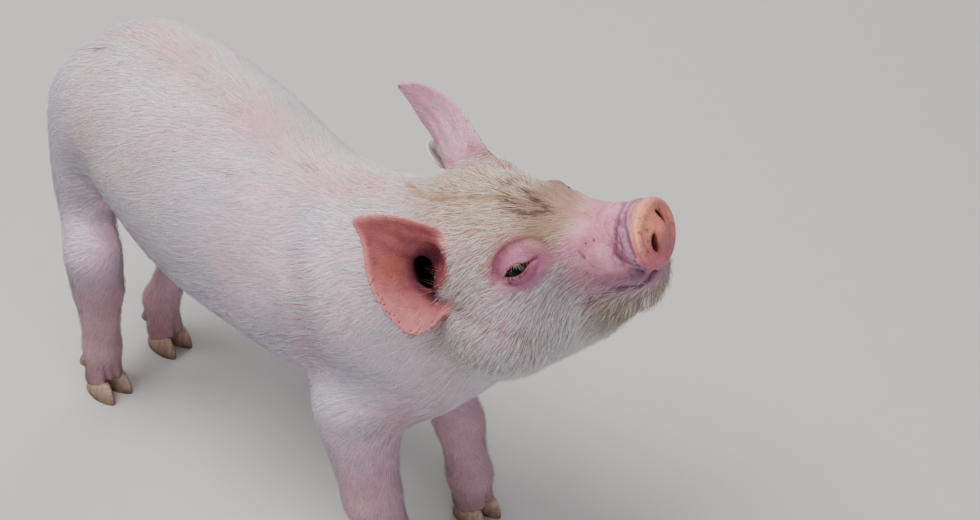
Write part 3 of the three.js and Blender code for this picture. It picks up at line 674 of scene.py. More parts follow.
TEAT_RADIUS = 1.7
NAVEL_RADIUS = 2.4
TEATS = settled(
    body_distance, vec(*((x, side * (13 + 0.04 * x), 118) for x in range(-90, 91, 30) for side in SIDES)))
NAVEL = settled(body_distance, vec((-30, 0, 120)))[0]
UNDERSIDE = {"top": 165, "half_width": 30}  # where the teats and the navel change the skin
CLEFT_TOP = 45
HEAD_ZONE = {"back": -165, "middle": vec(-75, 0, 0), "radius": 130}  # in the head's frame, as the next line
MUZZLE_BACK, NOSTRIL_BACK = -58, -14
EYE_REACH, EAR_REACH = 36, 62
EAR_MIDDLE = vec(20, 5, 0)  # from the ear's root, in its own axes


def skin_distance(p):
    q = to_head(p)
    d = body_distance(p, trim=True) + coat_depth(p, q)
    under = np.flatnonzero((p[:, 2] < UNDERSIDE["top"]) & (np.abs(p[:, 1]) < UNDERSIDE["half_width"]))
    for teat in TEATS:
        d[under] = smooth_union(d[under], length(p[under] - teat) - TEAT_RADIUS, 2.5)
    d[under] = smooth_union(d[under], length(p[under] - NAVEL) - NAVEL_RADIUS, 5)
    d = smooth_union(d, tail_distance(p) + 0.5, 5)

    low = np.flatnonzero(p[:, 2] < CLEFT_TOP)
    for name in LEGS:
        d[low] += toe_cleft(p[low], name)
    d += fold_depth(p, BODY_FOLDS)

    on = np.flatnonzero(
        (q[:, 0] > HEAD_ZONE["back"]) & (length(q - HEAD_ZONE["middle"]) < HEAD_ZONE["radius"]))
    h = q[on]
    e = smooth_union(d[on], ellipsoid(h, *CHIN[:2]), CHIN[2]) + fold_depth(h, HEAD_FOLDS)
    snout = np.flatnonzero(h[:, 0] > MUZZLE_BACK)
    e[snout] += muzzle_depth(h[snout]) + disc_depth(h[snout])
    for side in SIDES:
        tip = np.flatnonzero((h[:, 0] > NOSTRIL_BACK) & (h[:, 1] * side > 0))
        e[tip] = smooth_cut(e[tip], nostril_distance(h[tip], side), 0.9)
        near_eye = np.flatnonzero(length(p[on] - EYE_FRAMES[side][0]) < EYE_REACH)
        e[near_eye] = add_lids(e[near_eye], p[on][near_eye], side)
        near_ear = np.flatnonzero(length(h - EARS[side]["at"] - ear_axes(side) @ EAR_MIDDLE) < EAR_REACH)
        ear = h[near_ear]
        hollowed = smooth_cut(e[near_ear], bowl_distance(ear, side), 3)
        joined = smooth_union(hollowed, ear_distance(ear, side), 4.5)
        e[near_ear] = smooth_cut(joined, canal_distance(ear, side), 3)
    d[on] = e
    return d


# ---------------------------------------------------------------- meshing


def graded(start, spans):
    """Grid lines from start, each span filled evenly with about its own step."""
    lines = [start]
    for end, step in spans:
        count = max(1, round((end - lines[-1]) / (step * 1)))
        lines.extend(np.linspace(lines[-1], end, count + 1)[1:])
    return np.array(lines)


def sampled(distance, axes, block=8):
    """The field on the whole grid. Blocks that the surface can't reach get only their middle's value."""
    shape = [len(a) for a in axes]
    field = np.empty(shape, np.float32)
    starts = [np.arange(0, n, block) for n in shape]
    corner = np.stack(np.meshgrid(*starts, indexing="ij"), axis=-1).reshape(-1, 3)
    ends = np.minimum(corner + block, shape)
    low = np.stack([axes[k][corner[:, k]] for k in range(3)], axis=1)
    high = np.stack([axes[k][ends[:, k] - 1] for k in range(3)], axis=1)
    middle = distance((low + high) / 2)
    reach = length(high - low) / 2 * 1.35 + 4
    slices = [tuple(slice(c[k], e[k]) for k in range(3)) for c, e in zip(corner, ends)]
    for where, value in zip(slices, middle):
        field[where] = value
    chosen = np.flatnonzero(np.abs(middle) < reach)
    points = []
    for n in chosen:
        span = [axes[k][slices[n][k]] for k in range(3)]
        points.append(np.stack(np.meshgrid(*span, indexing="ij"), axis=-1).reshape(-1, 3))
    values = in_parts(distance, np.concatenate(points))
    at = 0
    for n, part in zip(chosen, points):
        where = slices[n]
        field[where] = values[at:at + len(part)].reshape([w.stop - w.start for w in where])
        at += len(part)
    return field


def surface_net(field, axes):
    """Naive surface nets on a grid with uneven steps: vertices and quads, wound to face outwards."""
    inside = field < 0
    cells = np.array(field.shape) - 1
    corners = list(np.ndindex(2, 2, 2))
    count = sum(
        inside[i:i + cells[0], j:j + cells[1], k:k + cells[2]].astype(np.uint8) for i, j, k in corners)
    active = np.argwhere((count > 0) & (count < 8))
    total = np.zeros((len(active), 3))
    crossings = np.zeros(len(active))
    for corner in corners:
        for axis in range(3):
            if corner[axis]:
                continue
            a = active + corner
            b = a + np.eye(3, dtype=int)[axis]
            va, vb = field[tuple(a.T)], field[tuple(b.T)]
            cut = (va < 0) != (vb < 0)
            t = np.where(cut, va / np.where(cut, va - vb, 1), 0)
            for k in range(3):
                total[:, k] += np.where(cut, toward(axes[k][a[:, k]], axes[k][b[:, k]], t), 0)
            crossings += cut
    index = np.full(cells, -1, np.int32)
    index[tuple(active.T)] = np.arange(len(active))
    quads = []
    for axis in range(3):
        across, over = (axis + 1) % 3, (axis + 2) % 3
        near, far = [slice(None)] * 3, [slice(None)] * 3
        near[axis], far[axis] = slice(0, -1), slice(1, None)
        edges = np.argwhere(inside[tuple(near)] != inside[tuple(far)])
        beside = edges[:, [across, over]]
        edges = edges[np.all((beside > 0) & (beside < cells[[across, over]]), axis=1)]
        ring = []
        for db, dc in ((0, 0), (1, 0), (1, 1), (0, 1)):
            cell = edges.copy()
            cell[:, across] -= db
            cell[:, over] -= dc
            ring.append(index[tuple(cell.T)])
        quad = np.stack(ring, axis=1)
        quads.append(np.where(each(inside[tuple(edges.T)]), quad, quad[:, ::-1]))
    return total / each(crossings), np.concatenate(quads)


def in_parts(function, p, size=16000):
    """function over many points, in parts that run side by side."""
    parts = [p[i:i + size] for i in range(0, len(p), size)]
    with ThreadPoolExecutor(4) as pool:
        done = list(pool.map(function, parts))
    if isinstance(done[0], tuple):
        return tuple(np.concatenate(column) for column in zip(*done))
    return np.concatenate(done)


def at_each(function, p, n):
    """function over many points of the skin and its normals there."""
    return in_parts(lambda pn: function(pn[:, :3], pn[:, 3:]), np.hstack([p, n]))


def joined(label, groups):
    """The lowest label that each is joined to, where all the labels in one row of groups are joined."""
    while True:
        lowest = label[groups].min(axis=1)
        new = label.copy()
        for column in groups.T:
            np.minimum.at(new, column, lowest)
        new = new[new]
        if np.array_equal(new, label):
            return label
        label = new


def largest_body(points, quads):
    """Drops specks: keeps the faces joined to the biggest patch of surface."""
    label = joined(np.arange(len(points)), quads)
    names, sizes = np.unique(label, return_counts=True)
    keep = label == names[np.argmax(sizes)]
    return points[keep], (np.cumsum(keep) - 1)[quads[keep[quads[:, 0]]]]


def make_skin_mesh():
    axes = [graded(start, spans) for start, spans in zip(GRID_START, (GRID_X, GRID_Y, GRID_Z))]
    points, quads = largest_body(*surface_net(sampled(skin_distance, axes), axes))
    for _ in range(2):
        gradient, value = in_parts(lambda part: slope(skin_distance, part), points)
        size = dots(gradient, gradient) + 0.05
        points = points - each(np.clip(value / size, -0.6, 0.6)) * gradient
    return points, quads, unit(gradient)


# ---------------------------------------------------------------- unwrapping the skin


def vertex_means(values, quads, count):
    """Mean at each vertex of the values of the faces round it."""
    flat = quads.ravel()
    sums = [np.bincount(flat, np.repeat(column, 4), count) for column in values.T]
    return np.stack(sums, axis=1) / each(np.bincount(flat, minlength=count))


def region_of(p):
    """Number of the part of the body that a point belongs to, for the unwrap: each is laid out on its own."""
    q = to_head(p)
    region = np.zeros(len(p), int)
    low = p[:, 2] < LEG_CHART_TOP
    region[low] = 1 + (p[low, 0] > 0) + 2 * (p[low, 1] > 0)
    region[q[:, 0] > NECK_CHART_FRONT] = 5
    for side in SIDES:
        along, across, over = ear_coordinates(q, side)
        on_leaf = (along > -8) & (np.abs(over) < 4) & (np.abs(across) < 45)
        region[on_leaf & (q[:, 0] < -85) & (q[:, 2] > 15)] = 6
    region[tail_distance(p) < 2] = 7
    return region


def chart_of(points, quads):
    """The chart of each face: a joined patch of one region whose faces look the same way."""
    a, b, c, d = (points[quads[:, k]] for k in range(4))
    normal = np.cross(c - a, d - b)
    for _ in range(10):
        normal = vertex_means(normal, quads, len(points))[quads].mean(axis=1)
    region = region_of(points[quads].mean(axis=1))
    looks = np.where(each(np.isin(region, HEAD_REGIONS)), normal @ HEAD_AXES, normal)
    axis = np.abs(looks).argmax(axis=1)
    forward = np.take_along_axis(looks, each(axis), axis=1)[:, 0] > 0
    label = (region * 3 + axis) * 2 + forward
    for _ in range(CHART_TIDYING):
        label = with_small_patches_joined(label, quads, len(points))
    return patches(label, quads, len(points)), region, axis


def patches(label, quads, count):
    """Numbers the joined patches of faces with one label."""
    key = each(label) * np.int64(count) + quads
    corner = np.unique(key, return_inverse=True)[1].reshape(key.shape)
    name = joined(np.arange(corner.max() + 1), corner)
    return np.unique(name[corner[:, 0]], return_inverse=True)[1]


def with_small_patches_joined(label, quads, count):
    """Faces of small patches take the label that most faces around them have."""
    patch = patches(label, quads, count)
    small = np.bincount(patch)[patch] < SMALL_PATCH
    votes = np.zeros((count, label.max() + 1), np.int16)
    for column in quads[~small].T:
        np.add.at(votes, (column, label[~small]), 1)
    around = votes[quads[small]].sum(axis=1)
    best = label.copy()
    best[small] = np.where(around.max(axis=1) > 0, around.argmax(axis=1), label[small])
    return best


def packed_boxes(sizes, width, gap):
    """Lower corners of boxes set out on shelves of this width, and the height they take."""
    corners = np.zeros((len(sizes), 2))
    x = y = shelf = 0.0
    for n in np.argsort(-sizes[:, 1], kind="stable"):
        w, h = sizes[n] + gap
        if x + w > width:
            x, y, shelf = 0.0, y + shelf, 0.0
        corners[n] = x, y
        x, shelf = x + w, max(shelf, h)
    return corners, y + shelf


def unwrapped(points, quads):
    """UV of each corner of each face, in a square, with the head and ears laid out larger."""
    chart, region, axis = chart_of(points, quads)
    of_head = np.isin(region, HEAD_REGIONS)[:, None, None]
    placed = np.where(of_head, points[quads] @ HEAD_AXES, points[quads])
    flat = np.empty((len(quads), 4, 2))
    for k, keep in enumerate(((1, 2), (0, 2), (0, 1))):
        flat[axis == k] = placed[axis == k][:, :, keep]
    flat *= np.where(of_head, HEAD_UV_SCALE, 1)
    low = np.full((chart.max() + 1, 2), FAR)
    high = -low
    np.minimum.at(low, chart, flat.min(axis=1))
    np.maximum.at(high, chart, flat.max(axis=1))
    size = high - low
    tall = size[:, 1] > size[:, 0]
    flat = flat - low[chart][:, None]
    flat = np.where(tall[chart][:, None, None], flat[:, :, ::-1], flat)
    size = np.where(each(tall), size[:, ::-1], size)
    widths = math.sqrt((size[:, 0] * size[:, 1]).sum()) * np.linspace(1.0, 1.8, 25)
    width = min(widths, key=lambda w: max(w, packed_boxes(size, w, UV_GAP * w)[1]))
    corners, height = packed_boxes(size, width, UV_GAP * width)
    return (flat + corners[chart][:, None] + UV_GAP * width / 2) / max(width, height)


# ---------------------------------------------------------------- Blender objects


def in_frame(points):
    """Millimetres about the animal's own origin, as above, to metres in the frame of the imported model."""
    return (points + SHIFT) * MM


def new_mesh(name, points, faces):
    """faces: rows of vertex numbers, all of one length."""
    mesh = bpy.data.meshes.new(name)
    count, sides = faces.shape
    mesh.vertices.add(len(points))
    mesh.vertices.foreach_set("co", np.ascontiguousarray(in_frame(points), np.float32).ravel())
    mesh.loops.add(count * sides)
    mesh.loops.foreach_set("vertex_index", np.ascontiguousarray(faces, np.int32).ravel())
    mesh.polygons.add(count)
    mesh.polygons.foreach_set("loop_start", np.arange(count, dtype=np.int32) * sides)
    mesh.polygons.foreach_set("use_smooth", np.ones(count, bool))
    mesh.update(calc_edges=True)
    return mesh


def add_colours(mesh, name, colours):
    rgba = np.ones((len(colours), 4), np.float32)
    rgba[:, :colours.shape[1]] = colours
    mesh.color_attributes.new(name, "FLOAT_COLOR", "POINT").data.foreach_set("color", rgba.ravel())


def add_uvs(mesh, uvs):
    mesh.uv_layers.new(name="OFBake").uv.foreach_set("vector", np.ascontiguousarray(uvs, np.float32).ravel())


def add_piece(name, mesh, material, replaced=()):
    piece = bpy.data.objects.new(name, mesh)
    bpy.context.scene.collection.objects.link(piece)
    mesh.materials.append(material)
    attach(piece, "root")
    if replaced:
        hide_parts(*replaced)


def add_painted(name, points, faces, colour, material, replaced):
    mesh = new_mesh(name, points, faces)
    add_colours(mesh, "Paint", colour)
    add_piece(name, mesh, material, replaced)


# ---------------------------------------------------------------- colours


def srgb(red, green, blue):
    c = vec(red, green, blue) / 255
    return np.where(c <= 0.04045, c / 12.92, ((c + 0.055) / 1.055) ** 2.4)


HIDE = srgb(226, 194, 206)
HIDE_SPINE_WARM_LIT = srgb(222, 160, 160)
HIDE_LEG_TONE_AND_SHADE = srgb(200, 158, 170)
HIDE_FOOT = srgb(170, 130, 134)
HIDE_HEAD = srgb(168, 130, 122)
HIDE_CHEEK = srgb(158, 132, 142)
HIDE_FOLD = srgb(168, 104, 108)
MUZZLE_PINK = srgb(206, 138, 156)
MUZZLE_PALE = srgb(228, 174, 188)
MUZZLE_MAUVE = srgb(162, 126, 152)
MUZZLE_GREY_AND_SHADE = srgb(154, 122, 140)
MUZZLE_CREASE_SHADE = srgb(108, 70, 92)
DISC_PINK = srgb(212, 138, 124)
DISC_PEACH = srgb(232, 164, 138)
DISC_PALE = srgb(224, 154, 140)
DISC_LOW = srgb(192, 112, 132)
DISC_SPECK = srgb(132, 76, 48)
NOSTRIL_SHADE = srgb(30, 14, 8)
NOSTRIL_BROWN = srgb(150, 84, 50)
MOUTH_LINE_SHADE = srgb(92, 68, 82)
LIP_PALE = srgb(190, 152, 160)
EYE_PINK = srgb(172, 108, 136)
EYE_FOLD_SHADE = srgb(118, 66, 84)
EYE_MARGIN = srgb(150, 84, 92)
DEBRIS_AND_SHADE = srgb(62, 40, 34)
TEAR = srgb(186, 130, 136)
EAR_INSIDE = srgb(168, 100, 100)
EAR_SHADE = srgb(150, 88, 88)
EAR_RIM = srgb(214, 146, 144)
EAR_WARM = srgb(184, 108, 78)
EAR_HOLLOW_SHADE = srgb(98, 44, 62)
EAR_BACK = srgb(218, 164, 188)
CANAL_SHADE = srgb(34, 22, 18)
COAT_WHITE = srgb(250, 247, 246)
COAT_PINK = srgb(246, 222, 228)
COAT_CREAM = srgb(252, 243, 224)
COAT_SHADE_BLUE = srgb(234, 236, 252)
DIRT = srgb(58, 42, 32)
STAIN_BROWN = srgb(200, 172, 122)
STAIN_DARK = srgb(112, 88, 58)
BRIDGE_BROWN = srgb(176, 142, 124)
IRIS_BROWN = srgb(44, 27, 20)
IRIS_AMBER = srgb(74, 48, 32)
PUPIL_BLACK = srgb(8, 6, 8)
EYE_WHITE = srgb(128, 98, 96)
HORN_PALE = srgb(190, 164, 148)
HORN_BROWN = srgb(132, 106, 90)
HORN_DARK = srgb(70, 52, 42)
TAG_CREAM = srgb(252, 248, 240)
TAG_GRIME_AND_SHADE = srgb(150, 134, 132)


def mixed(base, colour, weight):
    return toward(base, colour, each(weight))


def layered(colour, *layers):
    """The colour with each of the others laid over it in turn, as strongly as its weight says."""
    for over, weight in layers:
        colour = mixed(colour, over, weight)
    return colour


def wander(p, size, seed, waves=7):
    """Smooth noise from -1 to 1 or so whose bumps are about this size."""
    rng = np.random.default_rng(seed)
    total = np.zeros(len(p))
    for _ in range(waves):
        direction = rng.normal(size=3)
        direction *= rng.uniform(0.6, 1.5) * math.pi / size / np.linalg.norm(direction)
        total += np.sin(p @ direction + rng.uniform(0, 6.28))
    return total / math.sqrt(waves)


HEAD_DIRT = (  # in the head's frame, with the radius of each
    ((-80.7, 9.9, 44.5), 3), ((-73.5, 5.4, 42.6), 4), ((-67.7, 3.3, 40.5), 3.5), ((-66.5, 11.7, 37.8), 3),
    ((-56.4, 1.9, 35.9), 3.5), ((-50.6, -4.3, 33.1), 3), ((-55.8, -9.1, 34.1), 2.5), ((-62, -5.4, 37.7), 3),
    ((-71.9, -2.7, 42.3), 2.5), ((-47.9, -17.9, 24), 2), ((-31.9, -15.9, 12.8), 0.9),
    ((-40.1, -19, -4.9), 1.3), ((-27, -14.9, 13.1), 0.8),
    ((-73.8, -37.5, 10.6), 1.8), ((-73.9, -40, 4.2), 2.2), ((-48, -18.5, -25), 3.5),
    ((-44, 19, 14), 1.8), ((-70, 38, 6), 2.0), ((-52, 20, -24), 3), ((-84, 20, 38), 2.5),
    ((1, 4.3, 0.3), 1.0), ((0.5, 5, -3), 0.9), ((1, 10.5, 7), 1.3), ((1, -2, 8), 0.8), ((1, -12, 6), 0.7),
)
BODY_DIRT = (  # in the body's frame, with the radius of each
    ((-121, -22, 282), 3.6), ((-2, -36, 257), 3.6), ((16, -25, 259), 3), ((32, -9, 262), 3),
    ((38, -5, 262), 3), ((60, -44, 241), 3), ((82, -30, 261), 2.6), ((-40, 44, 246), 3.4),
    ((-88, 50, 214), 3), ((20, 52, 205), 3.6), ((-70, -52, 190), 2.6), ((70, 40, 240), 2.8),
    ((-150, 20, 215), 3.2), ((-20, 20, 284), 2.8),
)
DIRT_LINES = (  # streaks in the head's frame, and their half width
    (((-36.5, -18.5, 9.6), (-35.6, -18.8, 5)), 0.7),
    (((-75, 4, 42), (-74, 10, 41), (-72, 14, 39)), 1.6),
    (((-73, -6, 41), (-65, -5, 38), (-58, -4, 35), (-52, -2, 33)), 1.3),
    (((-64, 4, 38), (-55, -3, 34), (-47, -7, 30)), 1.6),
    (((-66, -9, 38), (-59, -11, 34), (-51, -9, 31)), 1.1),
    (((-72, -1, 41), (-69, -7, 39), (-70, -13, 38)), 1.1),
    (((-78, 18, 44), (-70, 22, 38)), 1.2),
)
STAIN = (  # the brown line of grease over the poll and the forehead, in the head's frame
    (-160, 29, 45), (-139, 11, 51), (-121, -3, 52), (-104, -8, 51), (-89, -6, 48), (-75, -3, 42),
    (-56, -3, 36),
)


def dirt(p, q):
    """How dirty each point is: small specks, and a grubby patch on the forehead."""
    grain = ease(wander(q * vec(0.4, 1, 1), 2.2, 71), -0.9, 0.6)
    weight = np.zeros(len(p))
    for where, marks in ((q, HEAD_DIRT), (p, BODY_DIRT)):
        for at, radius in marks:
            weight = np.maximum(weight, ease(length(where - vec(*at)), radius, radius * 0.35))
    for points, half in DIRT_LINES:
        weight = np.maximum(weight, ease(line_distance(q, points), half * 1.8, half * 0.5))
    return weight * (0.35 + 0.65 * grain)


def stain(q):
    """Yellow brown stain of the crown: a broad haze along a line, and a narrow streak in it."""
    away = line_distance(q, STAIN)
    haze = 0.22 * bell(away, 9) * (0.6 + 0.4 * wander(q, 9, 72))
    return (haze + 0.85 * bell(away, 1.4)) * ease(q[:, 0], -165, -140)


def fold_shade(p, q):
    folds = np.clip(fold_depth(p, BODY_FOLDS) / 2.2, 0, 1)
    on = q[:, 0] > HEAD_ZONE["back"]
    folds[on] = np.maximum(folds[on], np.clip(fold_depth(q[on], HEAD_FOLDS) / 2.0, 0, 1))
    return folds


def skin_colour(p, n):
    q = to_head(p)
    x, y, z = q.T
    up, side_y = p[:, 2], np.abs(p[:, 1])
    head = ease(x, -150, -105)
    colour = layered(
        np.broadcast_to(HIDE, p.shape),
        # painted warm light on the skin along the top of the back, where it faces up
        (HIDE_SPINE_WARM_LIT, ease(side_y, 26, 5) * ease(n[:, 2], 0.4, 0.9) * 0.8),
        # the legs' skin: their own pinker tone, and painted shade that darkens it
        (HIDE_LEG_TONE_AND_SHADE, ease(up, 165, 100)),
        (HIDE_FOOT, ease(up, 62, 14) * 0.8),
        (HIDE_HEAD, head),
        (HIDE_CHEEK, head * ease(z, 22, 2)),
        (HIDE_FOLD, fold_shade(p, q) * 0.55))
    colour = colour * each(1 + 0.045 * wander(p, 24, 1) + 0.035 * wander(p, 7, 2))
    colour = mixed(colour, HIDE_FOLD, 0.16 * ease(wander(p, 15, 3), 0.6, 1.8))
    colour = disc_colour(muzzle_colour(colour, q), q, n)
    for side in SIDES:
        nostril = nostril_distance(q, side)
        colour = mixed(colour, NOSTRIL_BROWN, ease(x, -5.5, -3) * ease(nostril, 2.4, 0.2) * 0.45)
        # painted shade inside the nostrils
        colour = mixed(colour, NOSTRIL_SHADE, (x > -16) * ease(nostril, 0.7, -0.4))
        colour = ear_colour(eye_colour(colour, p, side), q, n, side)
    over_lip = z - lip_level(x)
    corner = ease(length(columns(x, 0, z) - vec(-48, 0, -25)), 8, 2) * (np.abs(y) > 8)
    colour = layered(
        colour,
        (STAIN_BROWN * 0.62, 0.55 * ease(x, -68, -50) * ease(x, -26, -42) * ease(z, 16, 26)),
        (LIP_PALE, 0.7 * ease(x, -40, -26) * ease(over_lip, -1, -4)),
        # painted shade along the crease between the lips
        (MOUTH_LINE_SHADE, 0.55 * ease(x, -56, -50) * ease(x, 3, -3) * ease(np.abs(over_lip), 1.4, 0.3)),
        (TEAR, 0.25 * corner),
        (DIRT, (0.85 - 0.45 * (z > 28)) * dirt(p, q)))
    return np.clip(colour, 0.002, 1)


def muzzle_colour(colour, q):
    x, y, z = q.T
    near = ease(x, MUZZLE_BACK, -32)
    nose = near * ease(z, -27, -16)
    left = mirrored(q)
    at, radius = MUZZLE_PADS[0][:2]
    pads = sum(bell(length(q * vec(1, side, 1) - vec(*at)), radius) for side in SIDES)
    pressed = np.where((x > MUZZLE_BACK) & (x < 2), fold_depth(q, MUZZLE_FOLDS), 0)
    return layered(
        colour,
        (MUZZLE_PINK, nose),
        (MUZZLE_PALE, 0.5 * nose * ease(wander(q, 9, 5), -0.3, 1.4)),
        (STAIN_BROWN * 0.7, 0.5 * nose * ease(wander(q, 5, 6), 0.7, 1.7) * ease(x, -12, -26)),
        (MUZZLE_MAUVE, 0.75 * near * bell(line_distance(columns(-np.abs(x), np.abs(y), z), MAUVE_LINE), 7)),
        (MUZZLE_PALE, 0.75 * pads),
        (MUZZLE_MAUVE, 0.6 * ease(x, -62, -40) * ease(z, -12, -22) * ease(z, -34, -26)),
        # grey mauve under the snout disc: partly the skin's own colour, partly painted shade
        (MUZZLE_GREY_AND_SHADE, 0.85 * ease(line_distance(left, UNDER_DISC), 7, 2)),
        # painted shade in the muzzle's fine wrinkles and deep folds
        (MUZZLE_CREASE_SHADE, 0.5 * fine_wrinkles(q)),
        (MUZZLE_CREASE_SHADE, 0.75 * ease(pressed, 0.15, 1.5)))


def disc_colour(colour, q, n):
    x, y, z = q.T
    face = ease(x, -5.5, -3)
    out = disc_radius(q)
    return layered(
        colour,
        (DISC_PALE, face * ease(out, 0.7, 0.95)),
        (DISC_PINK, face * ease(out, 1.0, 0.72) * ease(n @ HEAD_AXES[:, 0], 0.25, 0.7)),
        (DISC_PEACH, face * ease(z - 0.5 * y, 2, 22) * 0.7),
        (DISC_LOW, face * ease(z + 0.4 * y, 5, -14) * 0.75),
        (DISC_SPECK, face * 0.7 * ease(wander(q, 2.2, 7), 1.1, 1.7)),
        (DIRT, face * 0.9 * ease(line_distance(q, SCRATCH), 1.0, 0.4)))


def eye_colour(colour, p, side):
    r = in_eye(p, side)
    u, v, w = r.T
    near = (w > -6) * ease(length(r), 34, 26)
    around = np.hypot((u + 1) / 21, (v - 1) / 15)
    fold = np.hypot((u - LID_FOLD["at"]) / LID_FOLD["half"], v / LID_FOLD["height"]) - 1
    tear = bell(v + 1.5 + 0.35 * (u - 8), 3.2) * ease(u, 5, 9) * ease(u, 32, 16)
    gap = lens(u, v)
    debris = ease(gap, 3.2, 1.2) * ease(v, 0.5, -1.2) * ease(u, -7, -2)
    debris = debris * ease(wander(p, 2.2, 9 + side), -0.9, 0.5)
    return layered(
        colour,
        (EYE_PINK, near * ease(around, 1.1, 0.55) * 0.85),
        # painted shade in the fold over the upper lid and in the groove at the inner corner
        (EYE_FOLD_SHADE, near * bell(fold * 14, 2.0) * ease(v, -3, 3) * 0.62),
        (EYE_FOLD_SHADE, near * bell(v - 0.6, 1.1) * ease(u, -5.5, -7) * ease(u, -14, -10) * 0.8),
        (TEAR, near * tear * 0.7),
        (DEBRIS_AND_SHADE, near * debris * 0.7),
        (EYE_MARGIN, near * ease(gap, 1.9, 0.6) * 0.8),
        # painted shade on the lids' edges inside the opening
        (DEBRIS_AND_SHADE, near * ease(gap, 0.5, -0.2) * 0.9))


def ear_colour(colour, q, n, side):
    along, across, over, edge, facing = ear_surface(q, n, side)
    leaf = ease(edge, 3, 0) * ease(np.abs(over), 9, 5)
    inside = leaf * ease(facing, -0.1, 0.25)
    deep = ease(np.hypot((along - 3) / 26, (across - 4) / 17), 1.15, 0.2)
    flush = ease(wander(q, 7, 82), 0.2, 1.5) * ease(along, 36, 20)
    specks = ease(wander(q, 1.6, 81), 1.15, 1.6) * (0.35 + 0.65 * ease(edge, -4, -1.5))
    near = length(q - EARS[side]["at"]) < 40
    wall = near * ease(bowl_distance(q, side), 4.5, 1.5) * ease(over, -1, 1.5)
    canal = canal_distance(q, side)
    colour = mixed(colour, EAR_BACK, leaf * ease(facing, 0.1, -0.3) * ease(along, -10, 6))
    colour = mixed(colour, EAR_INSIDE, inside)
    return layered(
        colour * each(1 - 0.14 * inside * ease(wander(q, 3.5, 83), 0.0, 1.4)),
        (EAR_SHADE, 0.55 * inside * ease(along, 20, 42) * ease(across, 26, 8)),
        # painted shade, darker down the hollow towards the canal
        (EAR_HOLLOW_SHADE, 0.85 * inside * deep),
        (EAR_RIM, inside * np.maximum(ease(edge, -5, -1) * 0.7, 0.6 * ease(across, 16, 34))),
        (EAR_WARM, 0.28 * inside * bell(along - 20, 8) * bell(across - 11, 9)),
        (HIDE_FOLD, 0.5 * (leaf - inside) * flush),
        (DEBRIS_AND_SHADE, 0.6 * leaf * specks),
        (EAR_INSIDE, 0.8 * wall * (1 - inside)),
        # painted shade on the walls of the bowl, round the canal, and near black in the canal itself
        (EAR_HOLLOW_SHADE, 0.45 * wall * ease(along, 14, 4)),
        (EAR_HOLLOW_SHADE, 0.9 * near * ease(canal, 7, 1.5)),
        (CANAL_SHADE, near * ease(canal, 2.2, 0.0)))


def coat_colour(p, under, chance):
    """Hair over skin of colour under. Where it is grubby, chance picks the hairs that hold the dirt."""
    q = to_head(p)
    x, y, z = q.T
    up = p[:, 2]
    # Painted light and shade: the coat is a bluish white, as in the cool shade of sky light, and whiter
    # towards the top of the body, as if lit from above. Pink and bluish patches lie over it at random.
    colour = layered(
        np.broadcast_to(COAT_SHADE_BLUE, p.shape),
        (COAT_WHITE, ease(up, 175, 235)),
        (COAT_PINK, 0.75 * ease(wander(p, 34, 51), -0.4, 1.3)),
        (COAT_SHADE_BLUE, 0.75 * ease(wander(p, 40, 52), 0.0, 1.3)))
    crown = ease(x, -138, -112) * ease(x, -30, -48) * ease(z, 12, 30) * ease(np.abs(y), 34, 20)
    colour = layered(
        colour * each(1 - 0.07 * ease(x, -125, -170)),
        (COAT_WHITE, ease(x, -170, -125)),
        (COAT_CREAM, crown),
        # the chin's hair browner and darker: a brown stain, and painted shade under the jaw
        (STAIN_BROWN * 0.7, 0.7 * ease(z, -18, -30) * ease(x, -62, -38)),
        (under, 0.12 + 0.58 * ease(up, 165, 90)),
        (STAIN_BROWN, np.clip(stain(q) * (0.4 + 1.3 * chance), 0, 1) * (x > -175)),
        (BRIDGE_BROWN, 0.8 * ease(x, -72, -52) * ease(z, 16, 27)),
        (STAIN_DARK, 0.7 * crown * (chance > 0.94)),
        (DIRT, 0.85 * ease(dirt(p, q), chance, chance + 0.25)),
        (DIRT, 0.5 * ease(up, 34, 14)))
    return np.clip(colour, 0.002, 1)


# ---------------------------------------------------------------- the coat


def lie_of_coat(p, n):
    """Which way the hair lies at each point, along the skin."""
    q = to_head(p)
    x, y, z = q.T
    side, turn = np.tanh(p[:, 1] / 14), np.tanh(y / 10)
    flank, cheek = ease(np.abs(p[:, 1]), 12, 42), ease(np.abs(y), 12, 34)
    on_head = columns(-1, 0.28 * turn, -0.35 * cheek - 0.12 * ease(z, 10, -30)) @ HEAD_AXES.T
    lie = layered(
        columns(-1, 0.34 * side, -0.42 * flank),
        (columns(-0.3, 0.25 * side, -1), ease(p[:, 0], -125, -155)),
        (columns(-0.3, 0.5 * side, -1), ease(p[:, 2], 165, 120)),
        (columns(-0.84, -0.1, -0.5 - 0.25 * flank), ease(x, -205, -165) * ease(p[:, 0], 55, 100)),
        (on_head, ease(x, -150, -118)))
    for side in SIDES:
        along, across, over = ear_coordinates(q, side)
        leaf = ease(np.abs(over), 8, 4) * ease(along, -4, 8) * ease(np.abs(across), 45, 40)
        axes = HEAD_AXES @ ear_axes(side)
        lie = mixed(lie, axes[:, 0] + 0.35 * each(np.tanh(across / 14)) * axes[:, 1], leaf)
    tail = tail_distance(p) < 3
    if tail.any():
        nearest = np.argmin(np.linalg.norm(p[tail][:, None] - TAIL_LINE[None, :-1], axis=2), axis=1)
        lie[tail] = unit(TAIL_LINE[nearest + 1] - TAIL_LINE[nearest])
    lie = unit(lie - n * each(dots(lie, n)))
    swirl = 0.16 * wander(p, 38, 21) + 0.13 * wander(p, 11, 22)
    return unit(lie + np.cross(n, lie) * each(swirl))


